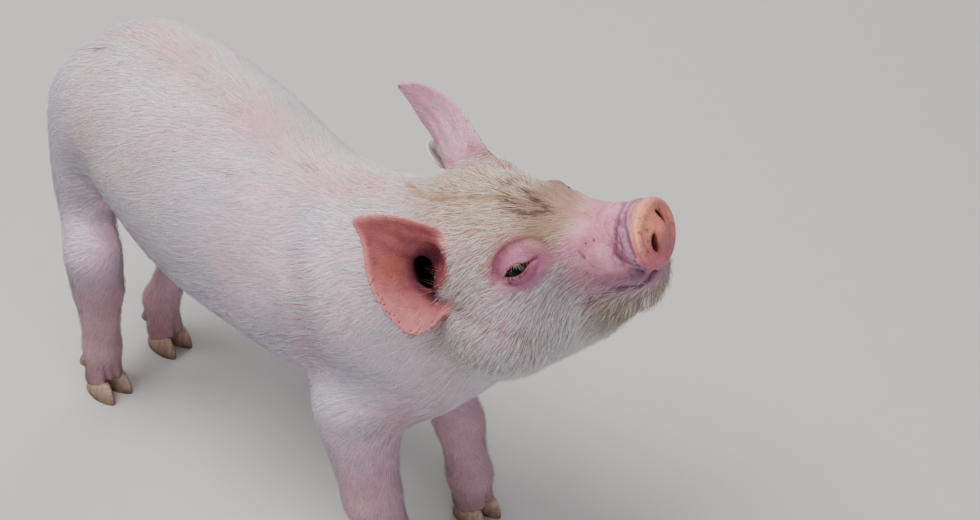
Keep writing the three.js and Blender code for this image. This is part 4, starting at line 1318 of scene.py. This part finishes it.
def coat_plan(p, n):
    """Hairs for each square millimetre, their length, and their rise from the skin as a slope."""
    q = to_head(p)
    x, z = q[:, 0], q[:, 2]
    up = p[:, 2]
    leg, neck, head = ease(up, 160, 100), ease(x, -200, -150), ease(x, -145, -110)
    jaw = head * ease(z, -14, -34)
    chin = ease(z, -21, -26)
    ahead = x - 13 * ease(z, 14, 24)  # the hair reaches further forward on the bridge
    nose = ease(ahead, -62, -30) * (1 - chin)
    thick, long = 0.52, 13.0 + 1.5 * wander(p, 30, 31)
    foot = ease(up, 50, 16)
    for reach, hairs, size in ((leg, 0.55, 8.5), (foot, 0.7, 5), (neck, 0.62, 11), (head, 0.88, 7.6)):
        thick = toward(thick, hairs, reach)
        long = toward(long, size, reach)
    long = toward(long + 3 * jaw, 3, nose)
    thick = thick * (1 - 0.75 * nose) * (1 - ease(ahead, -42, -30) * (1 - chin))
    thick = thick * (1 - 0.8 * bell(z - lip_level(x) + 2, 3) * ease(x, -44, -30))
    for side in SIDES:
        u, v, w = in_eye(p, side).T
        bare = ease(np.hypot((u + 3.5) / 18.5, (v - 2) / 14), 1.2, 0.9) * (w > -6)
        thick = thick * (1 - bare) * ((lens(u, v) > 1.6) | (w < 0))
        along, _, over, edge, facing = ear_surface(q, n, side)
        inside = ease(edge, 4, 1) * ease(np.abs(over), 5, 3) * ease(facing, 0.0, 0.3)
        leaf = ease(edge, 3, 0) * ease(np.abs(over), 9, 5) * ease(along, -10, 2)
        thick = thick * (1 - 0.72 * leaf) * (1 - 0.985 * inside)
        long = toward(long * (1 - 0.55 * bare), 5.6, leaf)
        near = length(q - EARS[side]["at"]) < 40
        bowl = bowl_distance(q, side) + 9 * ease(over, 1.5, -1)
        thick = thick * (1 - near * (canal_distance(q, side) < 2.5))
        thick = thick * (1 - 0.95 * near * ease(bowl, 4.0, 1.5))
        long = toward(long, 2.8, near * ease(bowl, 9, 2.5))
    thick = thick * (1 - 0.35 * fold_shade(p, q))
    return np.maximum(thick, 0), np.maximum(long, 1.5), 0.16 + 0.12 * leg + 0.06 * neck + 0.22 * jaw


def quad_points(corners, s, t):
    """Values at fractions s and t across faces, from those at their four corners."""
    a, b, c, d = np.moveaxis(corners, 1, 0)
    return toward(toward(a, b, each(s)), toward(d, c, each(s)), each(t))


def height_over_skin(p):
    """Capped, so that a hair that runs into another part of the body isn't thrown out of it."""
    return np.clip(in_parts(skin_distance, p), -HAIR_FALL, HAIR_FALL)


def hair_mesh(hair, rng):
    """Three-sided tapering hairs of two lengths each, lying over the skin: seven points and ten faces."""
    root, way, normal = hair["root"], hair["way"], hair["normal"]
    spine = []
    for reach, share in ((0.5, 0.42), (0.97, 0.55)):
        p = root + way * each(hair["long"] * reach)
        spine.append(p + normal * each(hair["rise"] * hair["long"] * share - height_over_skin(p)))
    turn = rng.uniform(0, 2 * math.pi, len(root))
    rings = []
    for at, size in ((root - normal * 0.25, 0.5), (spine[0], 0.4)):
        for k in range(3):
            angle = turn + 2 * math.pi * k / 3
            out = each(np.cos(angle)) * np.cross(normal, way) + each(np.sin(angle)) * normal
            rings.append(at + out * each(hair["width"] * size))
    points = np.stack(rings + [spine[1]], axis=1)
    pattern = [(0, 2, 1)]
    for k, j in ((0, 1), (1, 2), (2, 0)):
        pattern += [(k, j, 3 + j), (k, 3 + j, 3 + k), (3 + k, 3 + j, 6)]
    faces = np.arange(len(root))[:, None, None] * 7 + np.array(pattern)
    return points.reshape(-1, 3), faces.reshape(-1, 3)


HAIR_PATCH = vec((0, 0), (0.5, 0), (1, 0), (0, 0.6), (0.5, 0.6), (1, 0.6), (0.5, 1))


def add_hairs(name, hair, own, material, rng):
    """One piece of the coat. own is the share of a hair's own roundness in its shading, over the skin's."""
    points, faces = hair_mesh(hair, rng)
    mesh = new_mesh(name, points, faces)
    add_colours(mesh, "Paint", np.repeat(hair["colour"], 7, axis=0))
    patch = hair["uv"][:, None] + (HAIR_PATCH - 0.5) * HAIR_UV
    add_uvs(mesh, patch.reshape(-1, 2)[faces])
    rounded = np.empty(points.size, np.float32)
    mesh.vertex_normals.foreach_get("vector", rounded)
    soft = unit(np.repeat(hair["normal"], 7, axis=0) + own * rounded.reshape(-1, 3))
    mesh.normals_split_custom_set_from_vertices(soft)
    return add_piece(name, mesh, material)


COAT_REGIONS = (  # name, share of a hair's own roundness in its shading, and where its hairs are rooted
    ("head", 0.6, lambda p, q: q[:, 0] > -128),
    ("neck", 0.35, lambda p, q: (q[:, 0] > -178) & (p[:, 2] > 150)),
    ("legs", 0.22, lambda p, q: p[:, 2] < 145),
    ("hindquarters", 0.25, lambda p, q: p[:, 0] < -75),
    ("barrel", 0.25, lambda p, q: p[:, 0] < 25),
    ("shoulders", 0.25, lambda p, q: p[:, 0] < 1e9),
)


def make_coat(points, quads, normals, uvs, material):
    rng = np.random.default_rng(SEED)
    corner = points[quads]
    area = length(np.cross(corner[:, 2] - corner[:, 0], corner[:, 3] - corner[:, 1])) / 2
    thick, long, rise = at_each(coat_plan, corner.mean(axis=1), unit(normals[quads].mean(axis=1)))
    number = (area * thick * 1 + rng.random(len(quads))).astype(int)
    chosen = np.repeat(np.arange(len(quads)), number)
    count = len(chosen)
    s, t = rng.random(count), rng.random(count)
    root = quad_points(corner[chosen], s, t)
    normal = unit(quad_points(normals[quads[chosen]], s, t))
    way = at_each(lie_of_coat, root, normal)
    way = unit(way + np.cross(normal, way) * each(rng.normal(0, 0.13, count)))
    colour = coat_colour(root, at_each(skin_colour, root, normal), rng.random(count))
    q = to_head(root)
    on_head = ease(q[:, 0], -155, -115)
    contrast = 0.2 + 0.22 * on_head - 0.06 * ease(root[:, 2], 150, 90)
    colour = np.clip(colour * each(1.09 - contrast * rng.random(count)), 0, 1)
    long = long[chosen] * rng.uniform(0.7, 1.2, count)
    hair = {
        "root": root, "normal": normal, "way": way, "long": long,
        "rise": rise[chosen] * rng.uniform(0.3, 1.5, count), "width": 0.14 + 0.006 * long - 0.018 * on_head,
        "uv": quad_points(uvs[chosen], s, t), "colour": colour,
    }
    left = np.ones(count, bool)
    for name, own, inside in COAT_REGIONS:
        mine = np.flatnonzero(inside(root, q) & left)
        left[mine] = False
        mine = mine[np.argsort(root[mine, 1], kind="stable")]
        for k, part in enumerate(np.array_split(mine, max(1, math.ceil(len(mine) / HAIRS_IN_A_PIECE)))):
            add_hairs(f"coat_{name}_{k + 1}", {key: of[part] for key, of in hair.items()}, own, material, rng)
    return count


# ---------------------------------------------------------------- strands: lashes, whiskers, long ear hairs


def strand_mesh(lines, width):
    """Tapering three-sided hairs along given lines, an array of hairs by points by three."""
    count, steps = lines.shape[:2]
    along = unit(np.gradient(lines, axis=1))
    across = unit(np.cross(along, vec(0.31, 0.22, 0.93)))
    over = np.cross(along, across)
    taper = (1 - np.linspace(0, 1, steps) ** 1.5 * 0.9)[None, :, None, None] * width[:, None, None, None] / 2
    cos, sin = circle(3)
    points = (lines[:, :, None] + (across[:, :, None] * each(cos) + over[:, :, None] * each(sin)) * taper)
    sides = lathe_grid(steps, 3)
    sides = sides[:, [[0, 1, 2], [0, 2, 3]]].reshape(-1, 3)
    faces = np.concatenate([[(0, 2, 1)], [3 * steps - vec(3, 2, 1)], sides]).astype(int)
    return points.reshape(-1, 3), (np.arange(count)[:, None, None] * 3 * steps + faces).reshape(-1, 3)


def add_strands(name, lines, width, colour, material):
    points, faces = strand_mesh(lines, width)
    mesh = new_mesh(name, points, faces)
    add_colours(mesh, "Paint", np.broadcast_to(colour, points.shape))
    cells = math.ceil(math.sqrt(len(lines)))
    number = np.repeat(np.arange(len(lines)), 3 * lines.shape[1])
    patch = np.stack([number % cells, number // cells], axis=1) + 0.5
    corner = np.tile(np.linspace(-0.3, 0.3, 3), len(points) // 3)
    rise = np.tile(np.repeat(np.linspace(-0.3, 0.3, lines.shape[1]), 3), len(lines))
    add_uvs(mesh, ((patch + np.stack([corner, rise], axis=1)) / cells)[faces].reshape(-1, 2))
    return add_piece(name, mesh, material)


def curved_lines(root, start, end, long, steps):
    """Lines from each root that set out along start and turn to end."""
    t = np.linspace(0, 1, steps)[None, :, None]
    way = start[:, None] * t + (end - start)[:, None] * t**2 / 2
    return root[:, None] + way * long[:, None, None]


def lash_lines(side, rng):
    """Lashes of the upper lid, which fan out and hang over the eye, and short ones below it."""
    centre, axes = EYE_FRAMES[side]
    parts = []
    for edge, count, tall, long, fall in LASHES:
        s = np.sort(rng.uniform(-0.82, 0.95, count))
        u = OPENING["at"][0] + OPENING["half"] * s
        v = OPENING["at"][1] + edge * (tall * (1 - s * s) + 0.5)
        w = np.sqrt((EYE["radius"] + LID) ** 2 - u * u - v * v) - 0.2
        start = unit(columns(0.35 * s, edge * 0.2, 1) + rng.normal(0, 0.12, (count, 3)))
        end = unit(columns(0.6 * s + 0.15, fall, 0.75) + rng.normal(0, 0.15, (count, 3)))
        root = centre + columns(u, v, w) @ axes.T
        reach = long * rng.uniform(0.7, 1.15, count)
        parts.append(curved_lines(root, start @ axes.T, end @ axes.T, reach, 6))
    return np.concatenate(parts)


def on_skin(wanted):
    """The nearest points of the skin, and its normals there."""
    p = settled(skin_distance, wanted)
    return p, unit(slope(skin_distance, p)[0])


def strands(root, start, end, low, high, steps, rng):
    """Curved lines of random lengths between low and high."""
    return curved_lines(root, unit(start), unit(end), rng.uniform(low, high, len(root)), steps)


def grubby_locks(rng):
    """Dark locks of dirty hair along the streaks of the forehead, laid as the coat is."""
    q = np.concatenate([open_curve(vec(*points), LOCKS) for points, _ in DIRT_LINES if points[0][2] > 25])
    wanted = from_head(q + rng.normal(0, 1.5, q.shape))
    p, normal = on_skin(wanted)
    near = length(p - wanted) < 6
    p, normal = p[near], normal[near]
    way = lie_of_coat(p, normal)
    start = way + 0.5 * normal + rng.normal(0, 0.16, p.shape)
    end = way + 0.08 * normal + rng.normal(0, 0.2, p.shape)
    return strands(p + 0.4 * normal, start, end, 4, 8, 6, rng)


def whisker_lines(side, rng):
    """Short pale whiskers of the lips and chin, and a few on the muzzle."""
    x, y, z = (rng.uniform(low, high, WHISKERS) for low, high in ((-46, -8), (2, 24), (-44, -23)))
    p, normal = on_skin(from_head(columns(x, side * y, z)))
    start = normal + HEAD_AXES @ vec(-0.5, 0, -0.1) + rng.normal(0, 0.15, p.shape)
    end = 0.6 * normal + HEAD_AXES @ vec(-0.7, 0, -0.5) + rng.normal(0, 0.2, p.shape)
    return strands(p - 0.3 * normal, start, end, 5, 10, 5, rng)


def ear_hair_lines(side, rng):
    """Long hairs that rise from the front rim of the ear's root and lean back over its canal."""
    axes = ear_axes(side)
    turn = rng.uniform(-1.9, 1.5, EAR_HAIRS)
    along = BOWL["at"][0] - (BOWL["radii"][0] + rng.uniform(0, 4, EAR_HAIRS)) * np.cos(turn * 0.75)
    across = BOWL["at"][1] + (BOWL["radii"][1] + 1) * np.sin(turn * 0.75)
    q = np.array([leaf_place(side, a, c) for a, c in zip(along, across)]) + 11 * axes[:, 2]
    p, normal = on_skin(from_head(q))
    world = HEAD_AXES @ axes
    start = 0.7 * normal + world @ vec(0.7, 0.1, 0.2) + rng.normal(0, 0.14, p.shape)
    end = unit(world @ vec(1, 0.2, 0.1) + rng.normal(0, 0.1, p.shape))
    return strands(p - 0.3 * normal, start, end, 5, 10, 6, rng)


# ---------------------------------------------------------------- eyes


def circle(around):
    angle = 2 * math.pi * np.arange(around) / around
    return np.cos(angle), np.sin(angle)


def lathe_grid(rings, around):
    """Quads between rings of points."""
    ring, k = np.divmod(np.arange((rings - 1) * around), around)
    a, b = ring * around + k, ring * around + (k + 1) % around
    return np.stack([a, b, b + around, a + around], axis=1)


def lathed(at, axis, across, profile, around):
    """Rings about an axis, one for each radius and height of the profile."""
    cos, sin = circle(around)
    out = each(cos) * across + each(sin) * np.cross(axis, across)
    return np.concatenate([at + axis * height + radius * out for radius, height in profile])


def make_eye(side, name, material):
    """An eyeball with a raised cornea, dark oval pupil, brown iris and pink white."""
    centre, axes = EYE_FRAMES[side]
    polar = np.linspace(0.004, math.pi - 0.02, EYE_RINGS)
    radius = EYE["radius"] - 0.1 + CORNEA["rise"] * np.exp(-((polar / CORNEA["spread"]) ** 4))
    profile = np.stack([radius * np.sin(polar), radius * np.cos(polar)], axis=1)
    local = lathed(vec(0, 0, 0), vec(0, 0, 1), vec(1, 0, 0), profile, EYE_AROUND)
    u, v = local[:, 0], local[:, 1]
    gaze = unit(vec(GAZE[0], GAZE[1], 1))
    right = unit(np.cross(vec(0, 1, 0), gaze))
    local = local @ np.stack([right, np.cross(gaze, right), gaze])
    spread = np.hypot(u, v)
    streak = wander(columns(np.arctan2(v, u) * 9, spread * 0.8, 0), 3, 41)
    white = np.broadcast_to(EYE_WHITE, local.shape)
    white = mixed(white, EYE_PINK, 0.6 * ease(wander(local, 2.5, 42), 0.5, 1.6))
    colour = layered(
        np.broadcast_to(IRIS_BROWN, local.shape),
        (IRIS_AMBER, 0.5 + 0.35 * streak),
        (PUPIL_BLACK, ease(np.hypot(u / PUPIL[0], v / PUPIL[1]), 1.12, 0.95)),
        (PUPIL_BLACK, 0.8 * ease(spread, IRIS - 1.2, IRIS)),
        (white, ease(spread, IRIS - 0.15, IRIS + 0.5)))
    points = centre + local @ axes.T
    faces = outward_faces(points, lathe_grid(EYE_RINGS, EYE_AROUND))
    add_painted(f"{name}_ball", points, faces, colour, material, [name])


def outward_faces(points, faces):
    """The faces of one closed body, turned over if they look inwards."""
    corner = points[faces]
    normal = np.cross(corner[:, 1] - corner[:, 0], corner[:, 2] - corner[:, 0])
    outward = dots(normal, corner.mean(axis=1) - points.mean(axis=0)).sum() > 0
    return faces if outward else faces[:, ::-1]


# ---------------------------------------------------------------- claws


def claw_points(foot, side):
    """Rings of one claw from its sole, a little hollow, to a dome inside the foot."""
    cos, sin = circle(48)
    ahead = (1 + cos) / 2
    rings = [(0.02, 0.5, 0), (0.5, 0.5, 0), (0.86, 0, 0), (0.97, 0, 0)]
    for height in np.linspace(0.06, 1.0, 22):
        size = np.interp(height, [0, 0.06, 0.45, 1], [0.98, 1.0, 1.02, 0.94])
        ripple = 0.012 * math.sin(height * 34) * ease(height, 0.1, 0.3)
        rings.append((size + ripple, height, np.interp(height, [0, 0.45, 1], [0, -1.2, -3.6])))
    for shrink, height in ((0.86, 1.12), (0.6, 1.22), (0.3, 1.28), (0.02, 1.3)):
        rings.append((0.94 * shrink, height, -3.6 * shrink))
    points = []
    for size, height, shift in rings:
        x = (CLAW["toe"] - CLAW["heel"] + (CLAW["toe"] + CLAW["heel"]) * size * cos) / 2 + shift * ahead
        y = side * CLAW["side"] + CLAW["width"] / 2 * size * (1 - CLAW["taper"] * ahead**3) * sin
        sole = height == 0.5 and size < 0.6
        points.append(columns(x, y, 0.35 if sole else height * (CLAW["crown"] + CLAW["slope"] * x)))
    x, y, z = np.concatenate(points).T
    x, y = rotated(x, y, -side * CLAW["splay"])
    return columns(x + foot[0] + FOOT_AHEAD, y + foot[1], z), len(rings), 48


def dewclaw_points(foot, side):
    lean = math.radians(DEWCLAW["lean"])
    at = vec(foot[0] - DEWCLAW["back"], foot[1] + side * DEWCLAW["side"], DEWCLAW["up"])
    profile = [(DEWCLAW["radius"] * r, DEWCLAW["length"] / 2 * h) for r, h in DEWCLAW_PROFILE]
    points = lathed(at, vec(math.sin(lean), 0, math.cos(lean)), vec(0, 1, 0), profile, 28)
    return points, len(profile), 28


def claw_colour(p):
    """Horn: pale at the coronet, browner and dirtier towards the ground, streaked from top to bottom."""
    return layered(
        np.broadcast_to(HORN_PALE, p.shape),
        (HORN_BROWN, ease(p[:, 2], 13, 1) * 0.75),
        (HORN_BROWN, 0.7 * ease(p[:, 2], 16, 20)),
        (HORN_DARK, np.clip(0.15 + 0.15 * wander(p * vec(1, 1, 0.12), 1.6, 51), 0, 1)),
        (DIRT, 0.55 * ease(p[:, 2], 5, 0.5) * ease(wander(p, 5, 52), -0.8, 1)))


def make_foot(name, material):
    """The two claws and two dewclaws of one foot as one piece."""
    points, faces, start = [], [], 0
    for make in (claw_points, dewclaw_points):
        for side in (1, -1):
            part, rings, around = make(LEGS[name][3], side)
            points.append(part)
            faces.append(outward_faces(part, lathe_grid(rings, around)) + start)
            start += len(part)
    points = np.concatenate(points)
    ends = [f"{kind}_{name}_{toe}" for kind in ("claw", "dewclaw") for toe in ("inner", "outer")]
    add_painted(f"horn_{name}", points, np.concatenate(faces), claw_colour(points), material, ends)


# ---------------------------------------------------------------- the ear tag


def tag_frame():
    """The middle of the tag's ear side, the way its blank face looks, and up the ear."""
    pin, further, outer = (
        from_head(leaf_place(LEFT, TAG["along"] + a, TAG["across"] + b)) for a, b in ((0, 0), (1, 0), (0, 1)))
    up_ear = unit(further - pin)
    level = unit(np.cross(up_ear, outer - pin))
    turn = math.radians(TAG["tilt"])
    outward = level * math.cos(turn) + np.cross(up_ear, level) * math.sin(turn)
    return pin + outward * (TAG["lift"] + TAG["hub_height"]), outward, up_ear


def make_tag(material):
    """A blank plastic disc with a raised rim, its hub, and the pin through the ear with its button."""
    around = 72
    at, outward, up_ear = tag_frame()
    points = lathed(at, outward, unit(up_ear - outward * (up_ear @ outward)), TAG_PROFILE, around)
    edge = np.repeat([radius / TAG["radius"] for radius, _ in TAG_PROFILE], around)
    # the face inside the rim painted grey: painted shade, patchy like grime; the rim stays nearly clean cream
    grime_and_shade = np.clip(0.75 + 0.25 * wander(points, 6, 61), 0, 1) * (0.15 + 0.85 * ease(edge, 0.97, 0.88))
    colour = mixed(np.broadcast_to(TAG_CREAM, points.shape), TAG_GRIME_AND_SHADE, grime_and_shade)
    faces = outward_faces(points, lathe_grid(len(TAG_PROFILE), around))
    add_painted("tag_disc", points, faces, colour, material, ["ear_tag"])


# ---------------------------------------------------------------- materials


def add_node(tree, kind, inputs=(), **settings):
    made = tree.nodes.new(kind)
    for key, value in settings.items():
        setattr(made, key, value)
    for key, value in dict(inputs).items():
        if isinstance(value, bpy.types.NodeSocket):
            tree.links.new(value, made.inputs[key])
        else:
            made.inputs[key].default_value = value
    return made


def new_material(name, **sockets):
    """A material, with its node tree, its shader and the object's own coordinates."""
    material = bpy.data.materials.new(name)
    material.use_nodes = True
    tree = material.node_tree
    shader = tree.nodes["Principled BSDF"]
    for key, value in sockets.items():
        shader.inputs[key.replace("_", " ")].default_value = value
    return material, tree, shader, add_node(tree, "ShaderNodeTexCoord").outputs["Object"]


def wire(tree, shader, **sockets):
    """Links each value to the shader's socket of that name."""
    for key, value in sockets.items():
        tree.links.new(value, shader.inputs[key.replace("_", " ")])


def attribute(tree, name):
    return add_node(tree, "ShaderNodeAttribute", attribute_name=name)


def noise(tree, scale, detail=3, vector=None, roughness=0.55):
    inputs = {"Scale": scale, "Detail": detail, "Roughness": roughness}
    if vector is not None:
        inputs["Vector"] = vector
    return add_node(tree, "ShaderNodeTexNoise", inputs).outputs["Fac"]


def in_range(tree, value, low, high, from_low=0.0, from_high=1.0):
    inputs = {"Value": value, "From Min": from_low, "From Max": from_high, "To Min": low, "To Max": high}
    return add_node(tree, "ShaderNodeMapRange", inputs).outputs["Result"]


def painted(tree, *patterns):
    """The vertex colours, times a factor for each pattern: its value, lowest and highest factor."""
    colour = attribute(tree, "Paint").outputs["Color"]
    for value, low, high in patterns:
        made = add_node(tree, "ShaderNodeVectorMath", {0: colour}, operation="SCALE")
        tree.links.new(in_range(tree, value, low, high, 0.3, 0.7), made.inputs["Scale"])
        colour = made.outputs[0]
    return colour


def bump(tree, height, distance, strength=1.0, under=None):
    inputs = {"Height": height, "Distance": distance, "Strength": strength}
    if under is not None:
        inputs["Normal"] = under
    return add_node(tree, "ShaderNodeBump", inputs).outputs["Normal"]


def hair_lines(tree, place, along):
    """Fine streaks that run along a direction: the lie of hairs too short and flat to be modelled."""
    euler = Vector(along).to_track_quat("X", "Z").inverted().to_euler()
    turned = add_node(tree, "ShaderNodeMapping", {"Vector": place, "Rotation": euler})
    squeezed = add_node(tree, "ShaderNodeMapping", {"Vector": turned.outputs[0], "Scale": (0.09, 1, 1)})
    return noise(tree, 1500, 2, squeezed.outputs[0], 0.6)


def blend_value(tree, a, b, weight):
    return add_node(tree, "ShaderNodeMix", {"Factor": weight, "A": a, "B": b}).outputs["Result"]


def skin_material():
    material, tree, shader, place = new_material(
        "hide", Subsurface_Weight=0.12, Subsurface_Radius=(0.004, 0.0014, 0.001), Subsurface_Scale=1.0,
        Specular_IOR_Level=0.35)
    lie = attribute(tree, "Lie")
    head, leg, bare = add_node(tree, "ShaderNodeSeparateColor", {"Color": lie.outputs["Color"]}).outputs
    mottle = noise(tree, 240, 4, place)
    lines = hair_lines(tree, place, (1, 0, 0.1))
    for other, weight in (
            (hair_lines(tree, place, (0.3, 0, 1)), leg), (hair_lines(tree, place, HEAD_AXES[:, 0]), head),
            (noise(tree, 700, 3, place), bare)):
        lines = blend_value(tree, lines, other, weight)
    scales = {"Vector": place, "Scale": 520.0}
    pores = add_node(tree, "ShaderNodeTexVoronoi", scales, feature="DISTANCE_TO_EDGE")
    creases = in_range(tree, pores.outputs["Distance"], 0, 1, 0, 0.25)
    rough = blend_value(tree, in_range(tree, lines, 0.5, 0.7), in_range(tree, mottle, 0.36, 0.56), bare)
    wire(
        tree, shader, Base_Color=painted(tree, (mottle, 0.9, 1.08), (lines, 0.9, 1.1)),
        Normal=bump(tree, lines, 0.0003, 0.8, bump(tree, creases, 0.00018, 0.6)),
        Roughness=blend_value(tree, rough, in_range(tree, mottle, 0.12, 0.3), lie.outputs["Alpha"]))
    return material


def coat_material():
    material, tree, shader, place = new_material("coat", Specular_IOR_Level=0.4)
    speck = noise(tree, 900, 2, place)
    wire(
        tree, shader, Base_Color=painted(tree, (speck, 0.9, 1.08)),
        Roughness=in_range(tree, speck, 0.4, 0.62))
    return material


def eye_material():
    material, tree, shader, place = new_material(
        "eyeball", Coat_Weight=0.35, Coat_Roughness=0.03, Specular_IOR_Level=0.15)
    fine = noise(tree, 1800, 3, place)
    wire(
        tree, shader, Base_Color=painted(tree, (fine, 0.85, 1.15)),
        Roughness=in_range(tree, fine, 0.05, 0.14))
    return material


def horn_material():
    material, tree, shader, place = new_material("horn", Specular_IOR_Level=0.45)
    upright = hair_lines(tree, place, (0, 0, 1))
    rings = add_node(
        tree, "ShaderNodeTexWave", {"Vector": place, "Scale": 150.0, "Distortion": 4.0, "Detail": 3.0},
        bands_direction="Z").outputs["Fac"]
    wire(
        tree, shader, Base_Color=painted(tree, (upright, 0.9, 1.1)),
        Roughness=in_range(tree, upright, 0.35, 0.6),
        Normal=bump(tree, upright, 0.0002, 0.5, bump(tree, rings, 0.0003, 0.7)))
    return material


def tag_material():
    material, tree, shader, place = new_material("tag_plastic", Specular_IOR_Level=0.5)
    scuffs = noise(tree, 420, 5, place, 0.7)
    wire(
        tree, shader, Base_Color=painted(tree, (scuffs, 0.86, 1.06)), Normal=bump(tree, scuffs, 0.00015, 0.5),
        Roughness=in_range(tree, scuffs, 0.3, 0.62, 0.3, 0.7))
    return material


def floor_material():
    material, tree, shader, place = new_material("floor", Specular_IOR_Level=0.2, Roughness=0.9)
    colour = add_node(tree, "ShaderNodeMix", {"Factor": noise(tree, 60, 4, place)}, data_type="RGBA")
    colour.inputs["A"].default_value = (*FLOOR_COLOUR, 1)
    colour.inputs["B"].default_value = (*(c * 0.96 for c in FLOOR_COLOUR), 1)
    wire(tree, shader, Base_Color=colour.outputs["Result"])
    return material


# ---------------------------------------------------------------- the scene


def lie_weights(p, n):
    """For the fine pattern of the hide: lie of the head, lie of the legs, bare skin, and wet skin."""
    q = to_head(p)
    x = q[:, 0]
    bare, wet = ease(x, -48, -26), 0.25 * ease(x, -5, -2)
    for side in SIDES:
        u, v, w = in_eye(p, side).T
        bare = np.maximum(bare, ease(np.hypot((u + 1) / 19, (v - 1) / 13.5), 1.2, 0.7) * (w > -6))
        lids = ease(lens(u, v), 1.0, 0.1) * (w > 0)
        nostril = ease(nostril_distance(q, side), 0.4, -0.4) * (x > -20)
        canal = 0.4 * ease(canal_distance(q, side), 1, -1) * (x < -90)
        wet = np.maximum.reduce([wet, lids, nostril, canal])
    return columns(ease(x, -150, -110), ease(p[:, 2], 160, 110), bare, wet)


def make_skin(material):
    points, quads, normals = make_skin_mesh()
    uvs = unwrapped(points, quads)
    mesh = new_mesh("skin", points, quads)
    add_colours(mesh, "Paint", at_each(skin_colour, points, normals))
    add_colours(mesh, "Lie", at_each(lie_weights, points, normals))
    add_uvs(mesh, uvs.reshape(-1, 2))
    add_piece("skin", mesh, material, FLESH)
    return points, quads, normals, uvs


def make_floor():
    bpy.ops.mesh.primitive_plane_add(size=12, location=(0, 0, 0))
    floor = bpy.context.object
    floor.name = "floor"
    floor.data.materials.append(floor_material())


def area_light(name, at, size, power, colour):
    light = bpy.data.lights.new(name, "AREA")
    light.energy, light.size, light.color = power, size, colour
    lamp = bpy.data.objects.new(name, light)
    lamp.location = at
    lamp.rotation_euler = (Vector(LIT_PLACE) - Vector(at)).to_track_quat("-Z", "Y").to_euler()
    bpy.context.scene.collection.objects.link(lamp)


def make_lights():
    for light in LIGHTS:
        area_light(*light)
    world = bpy.data.worlds.new("studio")
    world.use_nodes = True
    background = world.node_tree.nodes["Background"]
    background.inputs["Color"].default_value = WORLD_COLOUR
    background.inputs["Strength"].default_value = WORLD_LIGHT
    bpy.context.scene.world = world
    bpy.context.scene.view_settings.look = "AgX - Medium High Contrast"


def make_camera():
    """A long lens above and to the right of the head, turned a little so that the floor line leans."""
    yaw, down, roll = CAMERA["turn"]
    ahead, left, up = axes_from(yaw, -down, -roll).T
    data = bpy.data.cameras.new("camera")
    data.lens, data.sensor_width, data.sensor_fit = CAMERA["lens"], 36, "HORIZONTAL"
    camera = bpy.data.objects.new("camera", data)
    turn = Matrix(np.stack([-left, up, -ahead], axis=1).tolist())
    camera.matrix_world = Matrix.Translation(Vector(in_frame(vec(*CAMERA["at"])))) @ turn.to_4x4()
    bpy.context.scene.collection.objects.link(camera)
    bpy.context.scene.camera = camera


SHIFT = np.array((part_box("eye_right")[0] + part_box("eye_right")[1]) / 2) / MM - EYE_FRAMES[RIGHT][0]

make_camera()
make_lights()
make_floor()
skin = make_skin(skin_material())
fur = coat_material()
print("hairs", make_coat(*skin, fur))
eyeball = eye_material()
horn = horn_material()
draws = np.random.default_rng(SEED + 1)
for eye_side in SIDES:
    label = "left" if eye_side == LEFT else "right"
    make_eye(eye_side, f"eye_{label}", eyeball)
    lashes = lash_lines(eye_side, draws)
    add_strands(f"lashes_{label}", lashes, np.full(len(lashes), 0.11), COAT_WHITE, fur)
    whiskers = whisker_lines(eye_side, draws)
    add_strands(f"whiskers_{label}", whiskers, np.full(len(whiskers), 0.22), COAT_WHITE, fur)
    ear_hairs = ear_hair_lines(eye_side, draws)
    add_strands(f"ear_hairs_{label}", ear_hairs, np.full(len(ear_hairs), 0.12), EAR_RIM, fur)
locks = grubby_locks(draws)
add_strands("grubby_locks", locks, draws.uniform(0.16, 0.3, len(locks)), STAIN_DARK * 0.6, fur)
for leg_name in LEGS:
    make_foot(leg_name, horn)
make_tag(tag_material())
